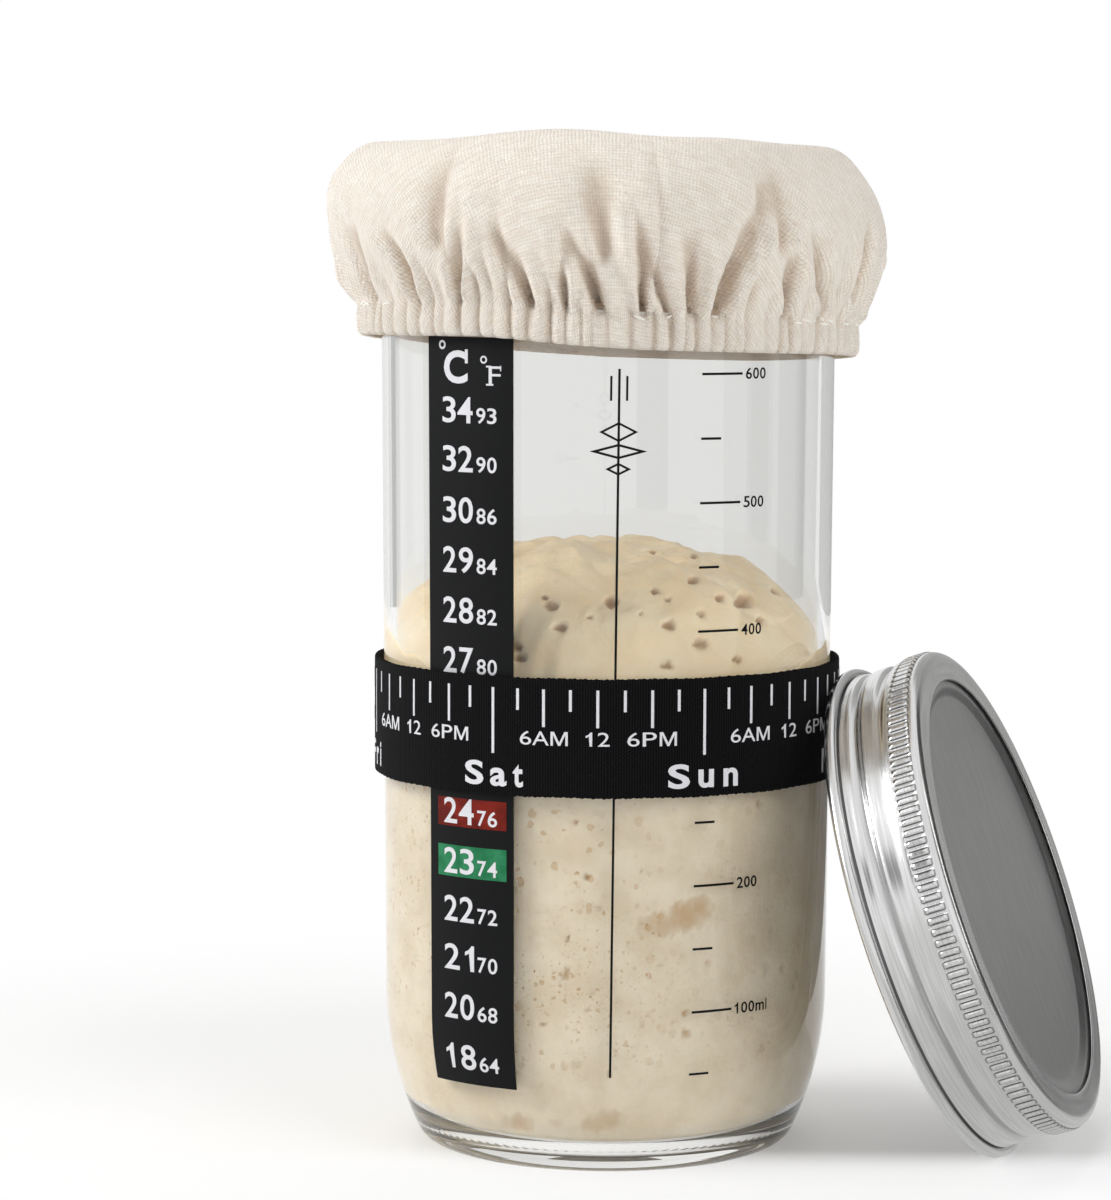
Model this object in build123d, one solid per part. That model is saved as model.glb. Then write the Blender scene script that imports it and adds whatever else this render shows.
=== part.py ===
"""Sourdough starter jar with a temperature strip, a day band, a cloth cover and a two-piece lid.

The jar stands on z = 0 with its axis on Z. The front, with the printed scales, faces -Y.
The lid has been taken off and leans against the day band on the +X side.
Lengths are in millimetres and angles in degrees.
"""
from build123d import *
from math import atan2, cos, degrees, pi, radians, sin, sqrt
import os

# Glass jar
jar_height = 177.5
body_radius_low = 39.75
body_radius_top = 40.5
wall = 2.2
heel_height = 28.0
heel_radius = 60.0
foot_round = 4.5
foot_width = 2.0
punt_height = 2.4
base_thickness = 3.4
floor_crown = 1.6
inner_heel_round = 7.5

# Neck and rim of the jar, where the lid screws on
neck_height = 25.5
neck_step = 0.1
neck_wall = 3.3
neck_bead_depth = 1.6
neck_bead_width = 4.0
neck_bead_drop = 18.9
mouth_slope = 8.0
rim_round = 1.0

# Starter, a risen dough that fills the jar's lower part
starter_level = 92.0
starter_gap = 0.12
dome_radius = 34.0
dome_tops = (17.6, 16.0, 15.2, 10.5)
dome_place_shares = ((-0.30, -0.16), (0.33, -0.10), (0.10, 0.38), (-0.42, 0.30))

# Stick-on temperature strip, on the outside of the glass
strip_bottom = 15.4
strip_margin = 6.6
strip_width = 18.1
strip_thickness = 0.35
strip_glue = 0.05
strip_bearing = -126.4

# Elastic day band, woven and lapped at the back
day_band_bottom = 67.1
day_band_width = 20.5
day_band_thickness = 0.85
day_band_clearance = 0.12
day_band_rise = 45.0
day_band_drop = 38.0
day_band_edge = 0.3
lap_length = 16.0
lap_bearing = 90.0

# Cloth cover, gathered on an elastic in a turned hem
cloth = 0.8
cover_spread = 8.9
cover_knuckle = 13.0
cover_crown = 800.0
cover_seat = 0.35
cover_drop = 23.15
hem_tilt = 3.65
hem_tilt_bearing = 50.0
hem_clearance = 0.3
hem_turn = 0.4
casing_height = 6.0
casing_fold = 0.5
casing_slit = 0.6
elastic_thickness = 0.6
elastic_width = 4.6
elastic_play = 0.12
upper_fold_place_share = 0.647
upper_fold_swell = 0.1
upper_fold_depth = 1.7
upper_fold_tilt_share = 0.3
lower_fold_place_share = 0.315
lower_fold_inset = 1.4
lower_fold_depth = 2.5
lower_fold_tilt_share = 0.7
stitch_bulge = 1.21
stitch_depth = 0.9
hem_bulge = 1.36
hem_depth = 0.6
fold_width_shares = (
    1.0, 0.7, 1.3, 0.9, 1.1, 0.6, 1.4, 0.8, 1.0, 1.2, 0.7, 1.1, 0.9,
    1.3, 0.6, 1.0, 1.2, 0.8, 1.1, 0.7, 1.4, 0.9, 1.0, 0.8, 1.2, 0.7,
)
fold_depth_shares = (
    0.8, 1.0, 0.6, 1.0, 0.7, 0.9, 0.5, 1.0, 0.8, 0.6, 1.0, 0.7, 0.9,
    0.6, 1.0, 0.8, 0.5, 1.0, 0.7, 0.9, 0.6, 0.8, 1.0, 0.7, 0.5, 0.9,
)

# Screw band of the lid, one pressed sheet with a curled edge, given from its open side
band_height = 17.2
band_gauge = 0.6
band_flare = 0.3
band_flare_rise = 0.7
band_corner = 1.8
flange_width = 5.7
curl_radius = 1.15
thread_clearance = 0.8
skirt_straight = 3.2
groove_width = 2.8
groove_depth = 0.9
ridge_width = 2.0
ridge_depth = 0.6
second_groove_width = 2.2
second_groove_depth = 0.7
knurl_pitch = 1.94
knurl_width = 1.1
knurl_crest = 0.55
knurl_length = 3.4
knurl_end = 0.3
knurl_rise = 0.35
knurl_root = 0.2
knurl_margin = 0.15

# Lid disc and its sealing ring
disc_gauge = 0.5
disc_overhang = 0.8
disc_play = 0.05
disc_rim_width = 5.4
disc_panel_drop = 0.85
disc_slope = 1.6
disc_lip = 0.7
seal_play = 0.1
seal_width = 2.5
seal_thickness = 0.9

# Where the lid leans
lid_tilt = 19.8
lid_facing = -16.9
lid_bearing = -9.2
lean_gap = 0.3
lean_steps = 360

# One overrun serves all cuts
overrun = 5.0

# Sizes that follow from those above
body_top = jar_height - neck_height
neck_radius = body_radius_top + neck_step
neck_bead_radius = neck_radius + neck_bead_depth
neck_bead_height = jar_height - neck_bead_drop
mouth_radius = neck_radius - neck_wall
cover_radius = neck_radius + cover_spread
skirt_radius = neck_bead_radius + thread_clearance + band_gauge
band_radius = skirt_radius + band_flare
band_opening = band_radius - flange_width
disc_radius = neck_radius + disc_overhang
disc_panel_radius = disc_radius - disc_rim_width

parts = {}


def at(radius, height):
    """Point of a profile that is turned about Z."""
    return Vector(radius, 0, height)


def two_arcs(radius, height, large, small, floor):
    """Heel outline: a small arc from the flat at floor, tangent to a large arc that ends upright."""
    centre_x = radius - large
    small_z = floor + small
    small_x = centre_x + sqrt((large - small) ** 2 - (height - small_z) ** 2)
    turn = atan2(small_z - height, small_x - centre_x)
    join = at(centre_x + large * cos(turn), height + large * sin(turn))
    middle = at(centre_x + large * cos(turn / 2), height + large * sin(turn / 2))
    small_turn = (turn - pi / 2) / 2
    small_middle = at(small_x + small * cos(small_turn), small_z + small * sin(small_turn))
    first = ThreePointArc(at(small_x, floor), small_middle, join)
    second = ThreePointArc(join, middle, at(radius, height))
    return [first, second], small_x


def glass_radius(height):
    """Outer radius of the straight wall at a height."""
    share = (height - heel_height) / (body_top - heel_height)
    return body_radius_low + (body_radius_top - body_radius_low) * share


def turned(edges, angle=360):
    """Solid turned about Z from a closed outline."""
    return revolve(make_face(Wire(edges)), Axis.Z, angle)


def ring(inner, outer, bottom, top):
    """Plain ring about Z."""
    height = top - bottom
    body = Cylinder(outer, height, align=(Align.CENTER, Align.CENTER, Align.MIN))
    bore = Cylinder(inner, height, align=(Align.CENTER, Align.CENTER, Align.MIN))
    return Pos(0, 0, bottom) * (body - bore)


def dish(reach, rise, floor):
    """Shallow arc from the axis, where it is highest, down to the floor at its reach."""
    radius = (reach ** 2 + rise ** 2) / (2 * rise)
    drop = radius - sqrt(radius ** 2 - (reach / 2) ** 2)
    return ThreePointArc(at(0, floor + rise), at(reach / 2, floor + rise - drop), at(reach, floor))


def inside_edges(gap):
    """Inner outline of the jar from the foot of its heel to the wall, drawn in by a gap."""
    big = heel_radius - wall - gap
    small = inner_heel_round - gap
    low = body_radius_low - wall - gap
    return two_arcs(low, heel_height, big, small, base_thickness)


def make_glass_jar():
    """Pressed glass jar with a pushed-up base, a tapered wall and a beaded neck."""
    outer_heel, foot_outer = two_arcs(body_radius_low, heel_height, heel_radius, foot_round, 0)
    foot_inner = foot_outer - foot_width
    punt = dish(foot_inner, punt_height, 0)
    foot = Line(at(foot_inner, 0), at(foot_outer, 0))
    bead_low = neck_bead_height - neck_bead_width / 2
    bead_high = neck_bead_height + neck_bead_width / 2
    side = Line(at(body_radius_low, heel_height), at(body_radius_top, body_top))
    throat = Line(at(body_radius_top, body_top), at(neck_radius, bead_low))
    bead = ThreePointArc(
        at(neck_radius, bead_low), at(neck_bead_radius, neck_bead_height), at(neck_radius, bead_high)
    )
    neck = Line(at(neck_radius, bead_high), at(neck_radius, jar_height - rim_round))
    turn = rim_round * (1 - cos(pi / 4))
    lip = ThreePointArc(
        at(neck_radius, jar_height - rim_round),
        at(neck_radius - turn, jar_height - turn),
        at(neck_radius - rim_round, jar_height),
    )
    land = Line(at(neck_radius - rim_round, jar_height), at(mouth_radius + rim_round, jar_height))
    inner_lip = ThreePointArc(
        at(mouth_radius + rim_round, jar_height),
        at(mouth_radius + turn, jar_height - turn),
        at(mouth_radius, jar_height - rim_round),
    )
    mouth = Line(at(mouth_radius, jar_height - rim_round), at(mouth_radius, body_top + mouth_slope))
    inner_top = body_radius_top - wall
    shoulder = Line(at(mouth_radius, body_top + mouth_slope), at(inner_top, body_top))
    inner_heel, floor_edge = inside_edges(0)
    inner_side = Line(at(inner_top, body_top), at(body_radius_low - wall, heel_height))
    floor = dish(floor_edge, floor_crown, base_thickness)
    axis = Line(at(0, base_thickness + floor_crown), at(0, punt_height))
    outline = [punt, foot, *outer_heel, side, throat, bead, neck, lip, land, inner_lip]
    outline += [mouth, shoulder, inner_side, *inner_heel, floor, axis]
    return turned(outline)


def make_starter():
    """Risen starter: a column that fills the jar, with four swollen lobes on top."""
    heel, floor_edge = inside_edges(starter_gap)
    top_radius = glass_radius(starter_level) - wall - starter_gap
    high_radius = body_radius_top - wall - starter_gap
    low = body_radius_low - wall - starter_gap
    floor = base_thickness
    dome_reach = inside_edges(0)[1]

    def column(radius, height):
        side = Line(at(low, heel_height), at(radius, height))
        cap = Line(at(radius, height), at(0, height))
        axis = Line(at(0, height), at(0, floor))
        base = Line(at(0, floor), at(floor_edge, floor))
        return turned([base, *heel, side, cap, axis])

    floor_dome = turned([
        dish(dome_reach, floor_crown, floor),
        Line(at(dome_reach, floor), at(0, floor)),
        Line(at(0, floor), at(0, floor + floor_crown)),
    ])
    space = column(high_radius, body_top)
    dough = column(top_radius, starter_level)
    for rise, (share_x, share_y) in zip(dome_tops, dome_place_shares):
        centre = Pos(top_radius * share_x, top_radius * share_y, starter_level + rise - dome_radius)
        dough += centre * Sphere(dome_radius)
    return (dough & space) - floor_dome


def make_thermometer_strip():
    """Thin film that follows the glass from the heel to the top of the wall."""

    def at_gap(gap, height):
        if height > heel_height:
            return at(glass_radius(height) + gap, height)
        rise = heel_height - height
        centre_x = body_radius_low - heel_radius
        return at(centre_x + sqrt((heel_radius + gap) ** 2 - rise ** 2), height)

    near = strip_glue
    far = strip_glue + strip_thickness
    top = body_top - strip_margin
    span = degrees(strip_width / glass_radius((strip_bottom + top) / 2))
    middle = (strip_bottom + heel_height) / 2
    back = ThreePointArc(at_gap(near, strip_bottom), at_gap(near, middle), at_gap(near, heel_height))
    front = ThreePointArc(at_gap(far, strip_bottom), at_gap(far, middle), at_gap(far, heel_height))
    edges = [
        back,
        Line(at_gap(near, heel_height), at_gap(near, top)),
        Line(at_gap(near, top), at_gap(far, top)),
        Line(at_gap(far, top), at_gap(far, heel_height)),
        front,
        Line(at_gap(far, strip_bottom), at_gap(near, strip_bottom)),
    ]
    return Rot(0, 0, strip_bearing - span / 2) * turned(edges, span)


def day_band_inner():
    """Bore of the day band, which clears the strip at both ends of its travel."""
    highest = day_band_bottom + day_band_width + day_band_rise
    lowest = day_band_bottom - day_band_drop
    widest = max(glass_radius(highest), glass_radius(lowest))
    return widest + strip_glue + strip_thickness + day_band_clearance


def make_day_band():
    """Woven elastic loop whose outer end laps over the inner one at the back."""
    inner = day_band_inner()
    outer = inner + day_band_thickness
    top = day_band_bottom + day_band_width
    loop = ring(inner, outer, day_band_bottom, top)
    loop = fillet(loop.edges().filter_by(GeomType.CIRCLE), day_band_edge)
    lap_angle = degrees(lap_length / outer)
    over = outer + day_band_thickness
    low = day_band_bottom + day_band_edge
    high = top - day_band_edge
    middle = (inner + outer) / 2
    edges = [
        Line(at(middle, low), at(over, low)),
        Line(at(over, low), at(over, high)),
        Line(at(over, high), at(middle, high)),
        Line(at(middle, high), at(middle, low)),
    ]
    lap = Rot(0, 0, lap_bearing - lap_angle / 2) * turned(edges, lap_angle)
    return loop + lap


def hem_plane(height, share):
    """Plane across the cover, tilted by a share of the hem's tilt."""
    lean = radians(hem_tilt) * share
    bearing = radians(hem_tilt_bearing)
    normal = (sin(lean) * cos(bearing), sin(lean) * sin(bearing), cos(lean))
    return Plane(origin=(0, 0, height), x_dir=(1, 0, 0), z_dir=normal)


def gathered_wire(plane, peak, depth):
    """Closed line of rounded gathers that meet in creases, each gather one arc."""
    total = sum(fold_width_shares)
    start = 0
    edges = []
    count = len(fold_width_shares)
    for index in range(count):
        width = 2 * pi * fold_width_shares[index] / total
        crease = peak - depth * fold_depth_shares[index]
        next_crease = peak - depth * fold_depth_shares[(index + 1) % count]
        middle = start + width / 2
        end = start + width
        points = [
            plane.from_local_coords((crease * cos(start), crease * sin(start), 0)),
            plane.from_local_coords((peak * cos(middle), peak * sin(middle), 0)),
            plane.from_local_coords((next_crease * cos(end), next_crease * sin(end), 0)),
        ]
        edges.append(ThreePointArc(*points))
        start = end
    return Wire(edges)


def round_wire(plane, radius):
    """Closed circle on a plane, for the smooth inside of the cover."""
    return Wire([Edge.make_circle(radius, plane)])


def hem_inner():
    """Inner radius of the hem, which passes over the neck when the cover is lifted."""
    return neck_bead_radius + hem_clearance


def channel_outer():
    """Outer radius of the channel that holds the elastic."""
    return hem_inner() + hem_turn + elastic_thickness + 2 * elastic_play


def belly_height():
    """Height of the cover's widest ring, from its seat on the jar's rim."""
    reach = neck_radius - rim_round - (cover_radius - cover_knuckle)
    return jar_height + cover_seat - sqrt((cover_knuckle - cloth) ** 2 - reach ** 2)


def hem_height():
    """Height of the hem's lower edge on the jar's axis."""
    return belly_height() - cover_drop


def dome(inset):
    """Crown of the cover above its widest ring: a shallow cap with a round shoulder."""
    shoulder = cover_knuckle - inset
    cap = cover_crown - inset
    centre_r = cover_radius - cover_knuckle
    centre_z = belly_height()
    cap_z = centre_z - sqrt((cap - shoulder) ** 2 - centre_r ** 2)
    turn = atan2(centre_z - cap_z, centre_r)
    join = at(cap * cos(turn), cap_z + cap * sin(turn))
    half_turn = (pi / 2 + turn) / 2
    edges = [
        ThreePointArc(
            at(centre_r + shoulder, centre_z),
            at(centre_r + shoulder * cos(turn / 2), centre_z + shoulder * sin(turn / 2)),
            join,
        ),
        ThreePointArc(join, at(cap * cos(half_turn), cap_z + cap * sin(half_turn)), at(0, cap_z + cap)),
        Line(at(0, cap_z + cap), at(0, centre_z)),
        Line(at(0, centre_z), at(centre_r + shoulder, centre_z)),
    ]
    return turned(edges)


def make_cloth_cover():
    """Gathered cloth cap: round crown, folds that deepen towards the hem, and a turned hem."""
    stitch = hem_height() + casing_height
    belly = belly_height()
    hem = hem_plane(hem_height(), 1)
    lower_height = stitch + (belly - stitch) * lower_fold_place_share
    upper_height = stitch + (belly - stitch) * upper_fold_place_share
    lower_plane = hem_plane(lower_height, lower_fold_tilt_share)
    upper_plane = hem_plane(upper_height, upper_fold_tilt_share)
    lower_peak = cover_radius - lower_fold_inset
    upper_peak = cover_radius + upper_fold_swell
    outer_wires = [
        gathered_wire(hem, channel_outer() + hem_bulge, hem_depth),
        gathered_wire(hem_plane(stitch, 1), channel_outer() + stitch_bulge, stitch_depth),
        gathered_wire(lower_plane, lower_peak, lower_fold_depth),
        gathered_wire(upper_plane, upper_peak, upper_fold_depth),
        gathered_wire(hem_plane(belly, 0), cover_radius, 0),
    ]
    inner_wires = [
        round_wire(hem_plane(hem_height() - overrun, 1), hem_inner()),
        round_wire(hem_plane(stitch, 1), hem_inner()),
        round_wire(lower_plane, lower_peak - lower_fold_depth - cloth),
        round_wire(upper_plane, upper_peak - upper_fold_depth - cloth),
        round_wire(hem_plane(belly, 0), cover_radius - cloth),
    ]
    outside = Solid.make_loft(outer_wires, ruled=True) + dome(0)
    inside = Solid.make_loft(inner_wires, ruled=True) + dome(cloth)
    inner = hem_inner() + hem_turn
    slit_low = casing_height - casing_slit
    channel = ring(inner, channel_outer(), casing_fold, slit_low)
    slit = ring(hem_inner() - casing_fold, channel_outer(), slit_low - casing_slit, slit_low)
    return outside - inside - hem.location * (channel + slit)


def make_cover_elastic():
    """Flat elastic that runs round inside the turned hem."""
    inner = hem_inner() + hem_turn + elastic_play
    low = casing_fold + elastic_play
    flat = ring(inner, inner + elastic_thickness, low, low + elastic_width)
    return hem_plane(hem_height(), 1).location * flat


def skirt_edges(inset):
    """Outline of the screw band's skirt from the curl to the corner, with two pressed grooves."""
    radius = skirt_radius - inset
    first = skirt_straight
    second = first + groove_width
    third = second + ridge_width
    fourth = third + second_groove_width
    shoulder = fourth + band_flare_rise
    return [
        Line(at(radius, curl_radius), at(radius, first)),
        ThreePointArc(
            at(radius, first), at(radius - groove_depth, (first + second) / 2), at(radius, second)
        ),
        ThreePointArc(
            at(radius, second), at(radius + ridge_depth, (second + third) / 2), at(radius, third)
        ),
        ThreePointArc(
            at(radius, third), at(radius - second_groove_depth, (third + fourth) / 2), at(radius, fourth)
        ),
        Line(at(radius, fourth), at(band_radius - inset, shoulder)),
        Line(at(band_radius - inset, shoulder), at(band_radius - inset, band_height - band_corner)),
    ]


def knurl_ribs():
    """Upright ribs pressed out of the skirt under the corner, as a grip for the fingers."""
    middle = band_height - band_corner - knurl_margin - knurl_length / 2
    wall_plane = Plane(origin=(band_radius - knurl_root, 0, middle), x_dir=(0, 1, 0), z_dir=(1, 0, 0))
    foot = wall_plane * Rectangle(knurl_width, knurl_length)
    raised = wall_plane.offset(knurl_root + knurl_rise)
    crest = raised * Rectangle(knurl_crest, knurl_length - 2 * knurl_end)
    rib = loft([foot.face(), crest.face()], ruled=True)
    count = round(2 * pi * band_radius / knurl_pitch)
    return [Rot(0, 0, 360 * index / count) * rib for index in range(count)]


def make_screw_band():
    """Screw band of the lid: curled edge, grooved skirt, knurl, rounded corner and open flange."""
    centre = skirt_radius - band_gauge + curl_radius
    hollow = curl_radius - band_gauge
    corner_r = band_radius - band_corner
    corner_z = band_height - band_corner
    inner_corner = band_corner - band_gauge
    bend = cos(pi / 4)
    edges = [
        *skirt_edges(0),
        ThreePointArc(
            at(band_radius, corner_z),
            at(corner_r + band_corner * bend, corner_z + band_corner * bend),
            at(corner_r, band_height),
        ),
        Line(at(corner_r, band_height), at(band_opening, band_height)),
        Line(at(band_opening, band_height), at(band_opening, band_height - band_gauge)),
        Line(at(band_opening, band_height - band_gauge), at(corner_r, band_height - band_gauge)),
        ThreePointArc(
            at(corner_r, band_height - band_gauge),
            at(corner_r + inner_corner * bend, corner_z + inner_corner * bend),
            at(corner_r + inner_corner, corner_z),
        ),
        *skirt_edges(band_gauge)[::-1],
        ThreePointArc(
            at(centre - curl_radius, curl_radius),
            at(centre + curl_radius * bend, curl_radius * (1 - bend)),
            at(centre, 2 * curl_radius),
        ),
        Line(at(centre, 2 * curl_radius), at(centre, curl_radius + hollow)),
        ThreePointArc(
            at(centre, curl_radius + hollow),
            at(centre + hollow * bend, curl_radius - hollow * bend),
            at(centre - hollow, curl_radius),
        ),
    ]
    return turned(edges) + knurl_ribs()


def disc_top():
    """Height of the disc's rim, just under the screw band's flange."""
    return band_height - band_gauge - disc_play


def disc_outline(drop):
    """Corner points of the disc's upper or lower side, from its middle to its edge."""
    top = disc_top() - drop
    return [
        at(0, top - disc_panel_drop),
        at(disc_panel_radius, top - disc_panel_drop),
        at(disc_panel_radius + disc_slope, top),
        at(disc_radius - drop, top),
        at(disc_radius - drop, disc_top() - disc_gauge - disc_lip),
    ]


def make_lid_disc():
    """Loose disc with a sunk panel, a raised rim and a short turned-down lip."""
    upper = disc_outline(0)
    lower = disc_outline(disc_gauge)
    points = upper + lower[::-1]
    edges = [Line(points[i], points[(i + 1) % len(points)]) for i in range(len(points))]
    return turned(edges)


def make_lid_seal():
    """Sealing ring under the disc's rim, where the rim of the jar presses."""
    top = disc_top() - disc_gauge
    outer = disc_radius - disc_gauge - seal_play
    return ring(outer - seal_width, outer, top - seal_thickness, top)


def lean_stop(height):
    """Distance from the jar's axis where the lid's curl stops: at the day band, or at the glass."""
    on_band = day_band_bottom < height < day_band_bottom + day_band_width
    surface = day_band_inner() + day_band_thickness if on_band else glass_radius(height)
    return surface + lean_gap + curl_radius


def lid_location():
    """Place of the leaning lid: its curl stands on the floor and rests against the day band."""
    facing = radians(lid_facing)
    tilt = radians(lid_tilt)
    normal = Vector(cos(facing) * cos(tilt), sin(facing) * cos(tilt), sin(tilt))
    across = Vector(-sin(facing), cos(facing), 0)
    upward = normal.cross(across)
    upward = upward if upward.Z > 0 else -upward
    centre = skirt_radius - band_gauge + curl_radius
    height = centre * cos(tilt) + curl_radius
    bearing = radians(lid_bearing)
    away = Vector(cos(bearing), sin(bearing), 0)
    beside = Vector(-sin(bearing), cos(bearing), 0)
    distance = 0
    for step in range(lean_steps):
        angle = 2 * pi * step / lean_steps
        point = across * (centre * cos(angle)) + upward * (centre * sin(angle))
        side = point.dot(beside)
        stop = lean_stop(point.Z + height)
        if abs(side) < stop:
            distance = max(distance, sqrt(stop ** 2 - side ** 2) - point.dot(away))
    middle = away * distance + Vector(0, 0, height)
    origin = middle - normal * curl_radius
    plane = Plane(origin=origin, x_dir=across, z_dir=normal)
    print("lid centre", [round(value, 3) for value in origin], "axis", [round(v, 5) for v in normal])
    return plane.location


lid_place = lid_location()
parts["glass_jar"] = make_glass_jar()
parts["starter"] = make_starter()
parts["thermometer_strip"] = make_thermometer_strip()
parts["day_band"] = make_day_band()
parts["cloth_cover"] = make_cloth_cover()
parts["cover_elastic"] = make_cover_elastic()
parts["screw_band"] = lid_place * make_screw_band()
parts["lid_disc"] = lid_place * make_lid_disc()
parts["lid_seal"] = lid_place * make_lid_seal()

os.makedirs("parts", exist_ok=True)
for name, shape in parts.items():
    export_step(shape, f"parts/{name}.step")
    box = shape.bounding_box()
    print(name, "volume", round(shape.volume), "height", round(box.min.Z, 2), "to", round(box.max.Z, 2))
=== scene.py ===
# %% [markdown]
# A sourdough starter jar
#
# The jar is a tall pressed glass with a risen starter in it, a stick-on temperature strip, an elastic
# day band, a gathered cotton cap, and a two-piece metal lid that leans against the band. The solids that
# carry all this are loaded first. Every piece that is made below sits on them, in the same frame, in
# metres.

# %% Load the solids that the looks are built on
from math import atan2, cos, degrees, pi, radians, sin, sqrt, tan

import bmesh
import bpy
import numpy as np
from mathutils import Matrix, Vector, noise


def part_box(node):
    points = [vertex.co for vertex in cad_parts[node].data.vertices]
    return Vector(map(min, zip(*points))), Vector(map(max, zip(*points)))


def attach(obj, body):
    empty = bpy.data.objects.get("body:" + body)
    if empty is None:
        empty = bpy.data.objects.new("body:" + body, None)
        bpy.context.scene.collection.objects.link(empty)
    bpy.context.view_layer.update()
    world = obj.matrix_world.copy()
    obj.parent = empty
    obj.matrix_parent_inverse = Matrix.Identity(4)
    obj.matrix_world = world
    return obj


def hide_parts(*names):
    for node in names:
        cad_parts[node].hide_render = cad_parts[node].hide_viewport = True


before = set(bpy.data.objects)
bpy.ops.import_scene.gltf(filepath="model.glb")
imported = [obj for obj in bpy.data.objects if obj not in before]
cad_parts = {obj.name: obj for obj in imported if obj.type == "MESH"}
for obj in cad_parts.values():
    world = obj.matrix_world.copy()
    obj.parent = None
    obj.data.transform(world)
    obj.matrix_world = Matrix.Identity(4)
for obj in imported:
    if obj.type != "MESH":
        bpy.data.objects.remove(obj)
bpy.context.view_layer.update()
MM = 0.001

# %% [markdown]
# The photograph's view
#
# A long lens a little above the jar, looking slightly down. The place and the turn of the camera were
# worked out from the printed scale and the jar's outline: the lens is given as its focal length in
# pixels of a picture 1200 pixels high, and the camera's place in millimetres from the foot of the jar.

# %% Camera
PICTURE_HEIGHT = 1200
FOCAL_PIXELS = 4110.53
CAMERA_PLACE = (-1.008, -736.27, 164.15)
CAMERA_YAW, CAMERA_PITCH, CAMERA_ROLL = radians(-0.644), radians(5.184), radians(0.165)


def aim_camera():
    """Puts a camera at the photograph's place, turned the photograph's way."""
    data = bpy.data.cameras.new("camera")
    data.sensor_width = 36.0
    data.lens = data.sensor_width * FOCAL_PIXELS / PICTURE_HEIGHT
    data.clip_start = 0.05
    forward = Vector((
        sin(CAMERA_YAW) * cos(CAMERA_PITCH),
        cos(CAMERA_YAW) * cos(CAMERA_PITCH),
        -sin(CAMERA_PITCH),
    ))
    level = Vector((cos(CAMERA_YAW), -sin(CAMERA_YAW), 0))
    upright = level.cross(forward)
    right = level * cos(CAMERA_ROLL) + upright * sin(CAMERA_ROLL)
    up = upright * cos(CAMERA_ROLL) - level * sin(CAMERA_ROLL)
    camera = bpy.data.objects.new("camera", data)
    turn = Matrix((right, up, -forward)).transposed()
    camera.matrix_world = Matrix.Translation(Vector(CAMERA_PLACE) * MM) @ turn.to_4x4()
    bpy.context.scene.collection.objects.link(camera)
    bpy.context.scene.camera = camera
    return camera


bpy.context.scene.view_settings.view_transform = "Standard"
camera = aim_camera()
print("lens", round(camera.data.lens, 2), "mm")

# %% [markdown]
# Shader maths as plain expressions
#
# A finish is easier to read as `thread * 0.3 + grain` than as a list of nodes and links. The class
# below wraps one output of a node and adds a Math node for each operator. Its partner, `Finish`, holds
# one material: a Principled shader, and a single method that adds any other node.

# %% Signals and finishes


class Signal:
    """One output of a node. The operators on it add Math nodes."""

    def __init__(self, finish, socket):
        self.finish = finish
        self.socket = socket

    def calculate(self, operation, *inputs):
        return self.finish.node("ShaderNodeMath", {"operation": operation}, dict(enumerate(inputs)))

    def math(self, operation, *others):
        """A Math node whose first input is this signal."""
        return self.calculate(operation, self, *others)

    def __add__(self, other):
        return self.math("ADD", other)

    def __radd__(self, other):
        return self.calculate("ADD", other, self)

    def __sub__(self, other):
        return self.math("SUBTRACT", other)

    def __rsub__(self, other):
        return self.calculate("SUBTRACT", other, self)

    def __mul__(self, other):
        return self.math("MULTIPLY", other)

    def __rmul__(self, other):
        return self.calculate("MULTIPLY", other, self)

    def __truediv__(self, other):
        return self.math("DIVIDE", other)

    def __rtruediv__(self, other):
        return self.calculate("DIVIDE", other, self)

    def __pow__(self, other):
        return self.math("POWER", other)

    def __rpow__(self, other):
        return self.calculate("POWER", other, self)

    def between(self, low, high):
        """0 below low, 1 above high, with a smooth ramp from one to the other."""
        settings = {"interpolation_type": "SMOOTHSTEP"}
        return self.finish.node("ShaderNodeMapRange", settings, {0: self, 1: low, 2: high})


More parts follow.
